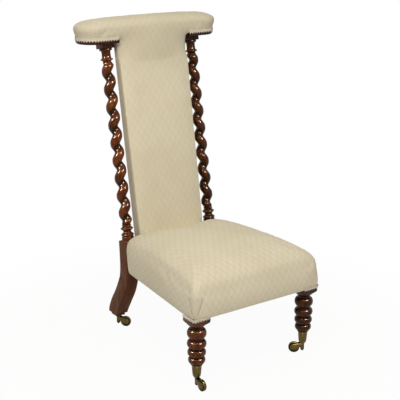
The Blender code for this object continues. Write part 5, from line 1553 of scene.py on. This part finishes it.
class BuildBraids(bpy.types.Operator):
    """Lay the scalloped braid along the rest and round the front leg blocks"""
    bl_idname = "prie_dieu.braids"
    bl_label = "Braids"

    def execute(self, context):
        centres, outward = stadium(401, 181)
        rim = centres + outward * (BOARD_HALF_DEPTH + GAP)
        front = (outward[:, 1] < -0.5) & (np.abs(rim[:, 0]) < NOTCH_HALF + 0.0015)
        first, last = np.flatnonzero(front)[[0, -1]]
        order = np.concatenate((np.arange(last + 1, len(rim)), np.arange(0, first)))
        path, away = at_height(rim[order], 0.0), at_height(outward[order], 0.0)
        add_braid("rest_braid", braid_shell(path, away, REST_BRAID, REST_TOOTH, 0.0004), "rest_gimp")
        flat, out = block_edge()
        gone = np.linspace(0, 1, len(flat))
        for name, side in SIDES.items():
            # Both ends turn up a little. The braid leans out over the cover's hem, which comes nearer to the
            # block's side towards the rear.
            mirror = np.array((-side, 1))
            turned_up = 0.004 * ease((np.abs(gone - 0.5) - 0.40) / 0.10) ** 1.5
            path = at_height(flat * mirror + (side * FRONT_LEG_X, FRONT_LEG_Y), turned_up)
            away = at_height(out * mirror, 0.0)
            behind = np.maximum(0, path[:, 1] - (FRONT_LEG_Y - BLOCK_HALF))
            lean = np.where(gone < 0.5, 0.0031 - SEAT_TAPER * behind, 0.0034)
            add_braid("leg_braid_" + name, braid_shell(path, away, LEG_BRAID, LEG_TOOTH, lean[:, None]),
                      "front_leg_gimp_" + name)
        return {"FINISHED"}


class FinishFrame(bpy.types.Operator):
    """Give the hidden frame, webs, springs and linings their finishes"""
    bl_idname = "prie_dieu.frame_finishes"
    bl_label = "Frame finishes"

    def execute(self, context):
        kinds = (("webbing", jute_web), ("spring", coppered_wire), ("hessian", open_hessian),
                 ("dust_cover", cambric_lining), ("side_rail", beech_side_rails), ("rail", beech_rails),
                 ("stile", beech_stiles))
        for name, node in frame["nodes"].items():
            if node.hide_render:
                continue
            made = [make for word, make in kinds if word in name]
            if not made:
                raise RuntimeError("no finish for " + name)
            for slot in node.material_slots:
                slot.material = made[0]()
        return {"FINISHED"}


# Studio

CAMERA_AT = Vector((-1.7034, -2.41235, 1.3626))
CAMERA_RIGHT = Vector((0.8146, -0.5800, 0.0))
CAMERA_UP = Vector((0.1753, 0.2467, 0.9531))
CAMERA_AHEAD = Vector((0.5528, 0.7764, -0.3026))


def photo_camera():
    """A camera that stands, looks and cuts its picture as the photo's did."""
    data = bpy.data.cameras.new("photo_camera")
    data.lens, data.sensor_width, data.sensor_fit = 89.43, 36.0, "HORIZONTAL"
    data.shift_x, data.shift_y = 0.0013, 0.0286
    data.clip_end = 100.0
    camera = bpy.data.objects.new("photo_camera", data)
    turn = Matrix((CAMERA_RIGHT, CAMERA_UP, -CAMERA_AHEAD)).transposed().to_4x4()
    camera.matrix_world = Matrix.Translation(CAMERA_AT) @ turn
    return camera


def soft_light(name, direction, power, tint, distance=2.6, size=0.9):
    """A square soft light aimed at the chair's middle; direction is right, up and towards the camera."""
    aim = Vector((0.0, -0.02, 0.5))
    way = (CAMERA_RIGHT * direction[0] + CAMERA_UP * direction[1] - CAMERA_AHEAD * direction[2]).normalized()
    data = bpy.data.lights.new(name, "AREA")
    data.size, data.energy, data.color = size, power, linear(tint)
    light = bpy.data.objects.new(name, data)
    light.location = aim + way * distance
    light.rotation_euler = way.to_track_quat("Z", "Y").to_euler()
    bpy.context.scene.collection.objects.link(light)
    return light


def gloss_lamp(name, direction, power, finish):
    """A soft light that only the gloss of the pieces in one finish reflects."""
    lamp = soft_light(name, direction, power, "#FFFAF2")
    lamp.visible_diffuse = False
    pieces = bpy.data.collections.new("shown_by_" + name)
    for piece in bpy.context.scene.objects:
        if piece.type == "MESH" and piece.data.materials and finish in piece.data.materials[0].name:
            pieces.objects.link(piece)
    lamp.light_linking.receiver_collection = pieces


def white_to_the_camera(tree, strength=1.0):
    """A share that is the strength where the camera, a reflection or a refraction looks, and 0 for light on the
    chair."""
    path = add_node(tree, "LightPath")
    seen = calculate(tree, "MAXIMUM", path.outputs["Is Camera Ray"], path.outputs["Is Glossy Ray"])
    seen = calculate(tree, "MAXIMUM", seen, path.outputs["Is Transmission Ray"])
    return calculate(tree, "MULTIPLY", seen, strength)


def white_surround(scene):
    """A world that lights the chair warmly and weakly, and looks white."""
    world = scene.world or bpy.data.worlds.new("surround")
    scene.world = world
    world.use_nodes = True
    tree = world.node_tree
    tree.nodes.clear()
    warm = (1.0, 0.94, 0.84, 1)
    ambient = add_node(tree, "Background", {"Color": warm, "Strength": scene.prie_dieu_studio.surround})
    white = add_node(tree, "Background", {"Color": (1, 1, 1, 1), "Strength": 1.0})
    mixed = add_node(tree, "MixShader", links={0: white_to_the_camera(tree), 1: ambient.outputs[0],
                                               2: white.outputs[0]})
    add_node(tree, "OutputWorld", links={"Surface": mixed.outputs[0]})


def pale_studio_floor():
    """Matt white paper that takes the chair's shadow and fades into the white surround away from it."""
    material, tree = new_material("pale_studio_floor")
    if tree is None:
        return material
    place = add_node(tree, "TexCoord").outputs["Object"]
    rough = spread(tree, noise(tree, place, 60.0, 3.0), 0.3, 0.7, 0.75, 0.9)
    paper = add_node(tree, "BsdfPrincipled", {"Base Color": (0.86, 0.86, 0.86, 1), "Specular IOR Level": 0.1},
                     {"Roughness": rough})
    glow = add_node(tree, "Emission", {"Color": (1, 1, 1, 1), "Strength": 1.0})
    away = add_node(tree, "VectorMath", {"operation": "LENGTH"}, {0: place}).outputs["Value"]
    share = spread(tree, away, 0.45, 1.15, 0.955, 1.0)
    mixed = add_node(tree, "MixShader", links={0: white_to_the_camera(tree, share), 1: paper.outputs[0],
                                               2: glow.outputs[0]})
    add_node(tree, "OutputMaterial", links={"Surface": mixed.outputs[0]})
    return material


class BuildStage(bpy.types.Operator):
    """Set the camera, the lights, the white surround and the pale floor"""
    bl_idname = "prie_dieu.stage"
    bl_label = "Stage"

    def execute(self, context):
        scene, studio = context.scene, context.scene.prie_dieu_studio
        camera = photo_camera()
        scene.collection.objects.link(camera)
        scene.camera = camera
        soft_light("main_softbox", (-0.12, 0.53, 0.84), studio.main_power, "#FFF6E8")
        soft_light("right_lamp", (0.42, 0.35, 0.84), studio.right_power, "#FFF3E0", size=0.5)
        soft_light("overhead", (-0.05, 1.0, 0.25), studio.top_power, "#FFFBF2", distance=2.4, size=1.6)
        gloss_lamp("polish_left", (-0.72, 0.42, 0.56), studio.polish_power, "walnut")
        gloss_lamp("polish_right", (0.62, 0.46, 0.64), studio.polish_power, "walnut")
        gloss_lamp("glint_front", (0.12, -0.3, 1.0), studio.glint_power, "brass")
        gloss_lamp("glint_right", (0.55, 0.6, 0.5), studio.glint_power, "brass")
        white_surround(scene)
        reach = 60.0
        mesh = bpy.data.meshes.new("floor")
        mesh.from_pydata([(-reach, -reach, -GAP), (reach, -reach, -GAP), (reach, reach, -GAP), (-reach, reach, -GAP)],
                         [], [(0, 1, 2, 3)])
        floor = bpy.data.objects.new("floor", mesh)
        scene.collection.objects.link(floor)
        mesh.materials.append(pale_studio_floor())
        scene.view_settings.view_transform = "Standard"
        return {"FINISHED"}


class PrieDieuPanel(bpy.types.Panel):
    """Lists the chair's pieces, sizes, finishes and studio"""
    bl_idname = "VIEW3D_PT_prie_dieu"
    bl_label = "Prie-dieu chair"
    bl_space_type = "VIEW_3D"
    bl_region_type = "UI"
    bl_category = "Prie-dieu"

    def draw(self, context):
        for operator in OPERATORS:
            self.layout.operator(operator.bl_idname)
        for group_name in GROUPS:
            group = getattr(context.scene, group_name)
            for name in group.__annotations__:
                self.layout.prop(group, name)


OPERATORS = (BuildFrontLegs, BuildRearLegs, BuildTwistColumns, BuildCastors, BuildRestBoard,
             BuildBackUpholstery, BuildSeat, BuildBraids, FinishFrame, BuildStage)
GROUPS = {"prie_dieu_sizes": PrieDieuSizes, "prie_dieu_finishes": PrieDieuFinishes,
          "prie_dieu_studio": PrieDieuStudio}


def register():
    """Registers the groups, the operators and the panel."""
    for kind in (*GROUPS.values(), *OPERATORS, PrieDieuPanel):
        bpy.utils.register_class(kind)
    for name, group in GROUPS.items():
        setattr(bpy.types.Scene, name, bpy.props.PointerProperty(type=group))


def unregister():
    """Takes them away again."""
    for name in GROUPS:
        delattr(bpy.types.Scene, name)
    for kind in (PrieDieuPanel, *OPERATORS[::-1], *GROUPS.values()):
        bpy.utils.unregister_class(kind)


def main():
    """Builds every piece in order."""
    register()
    for operator in OPERATORS:
        group, name = operator.bl_idname.split(".")
        getattr(getattr(bpy.ops, group), name)()


if __name__ == "__main__":
    main()
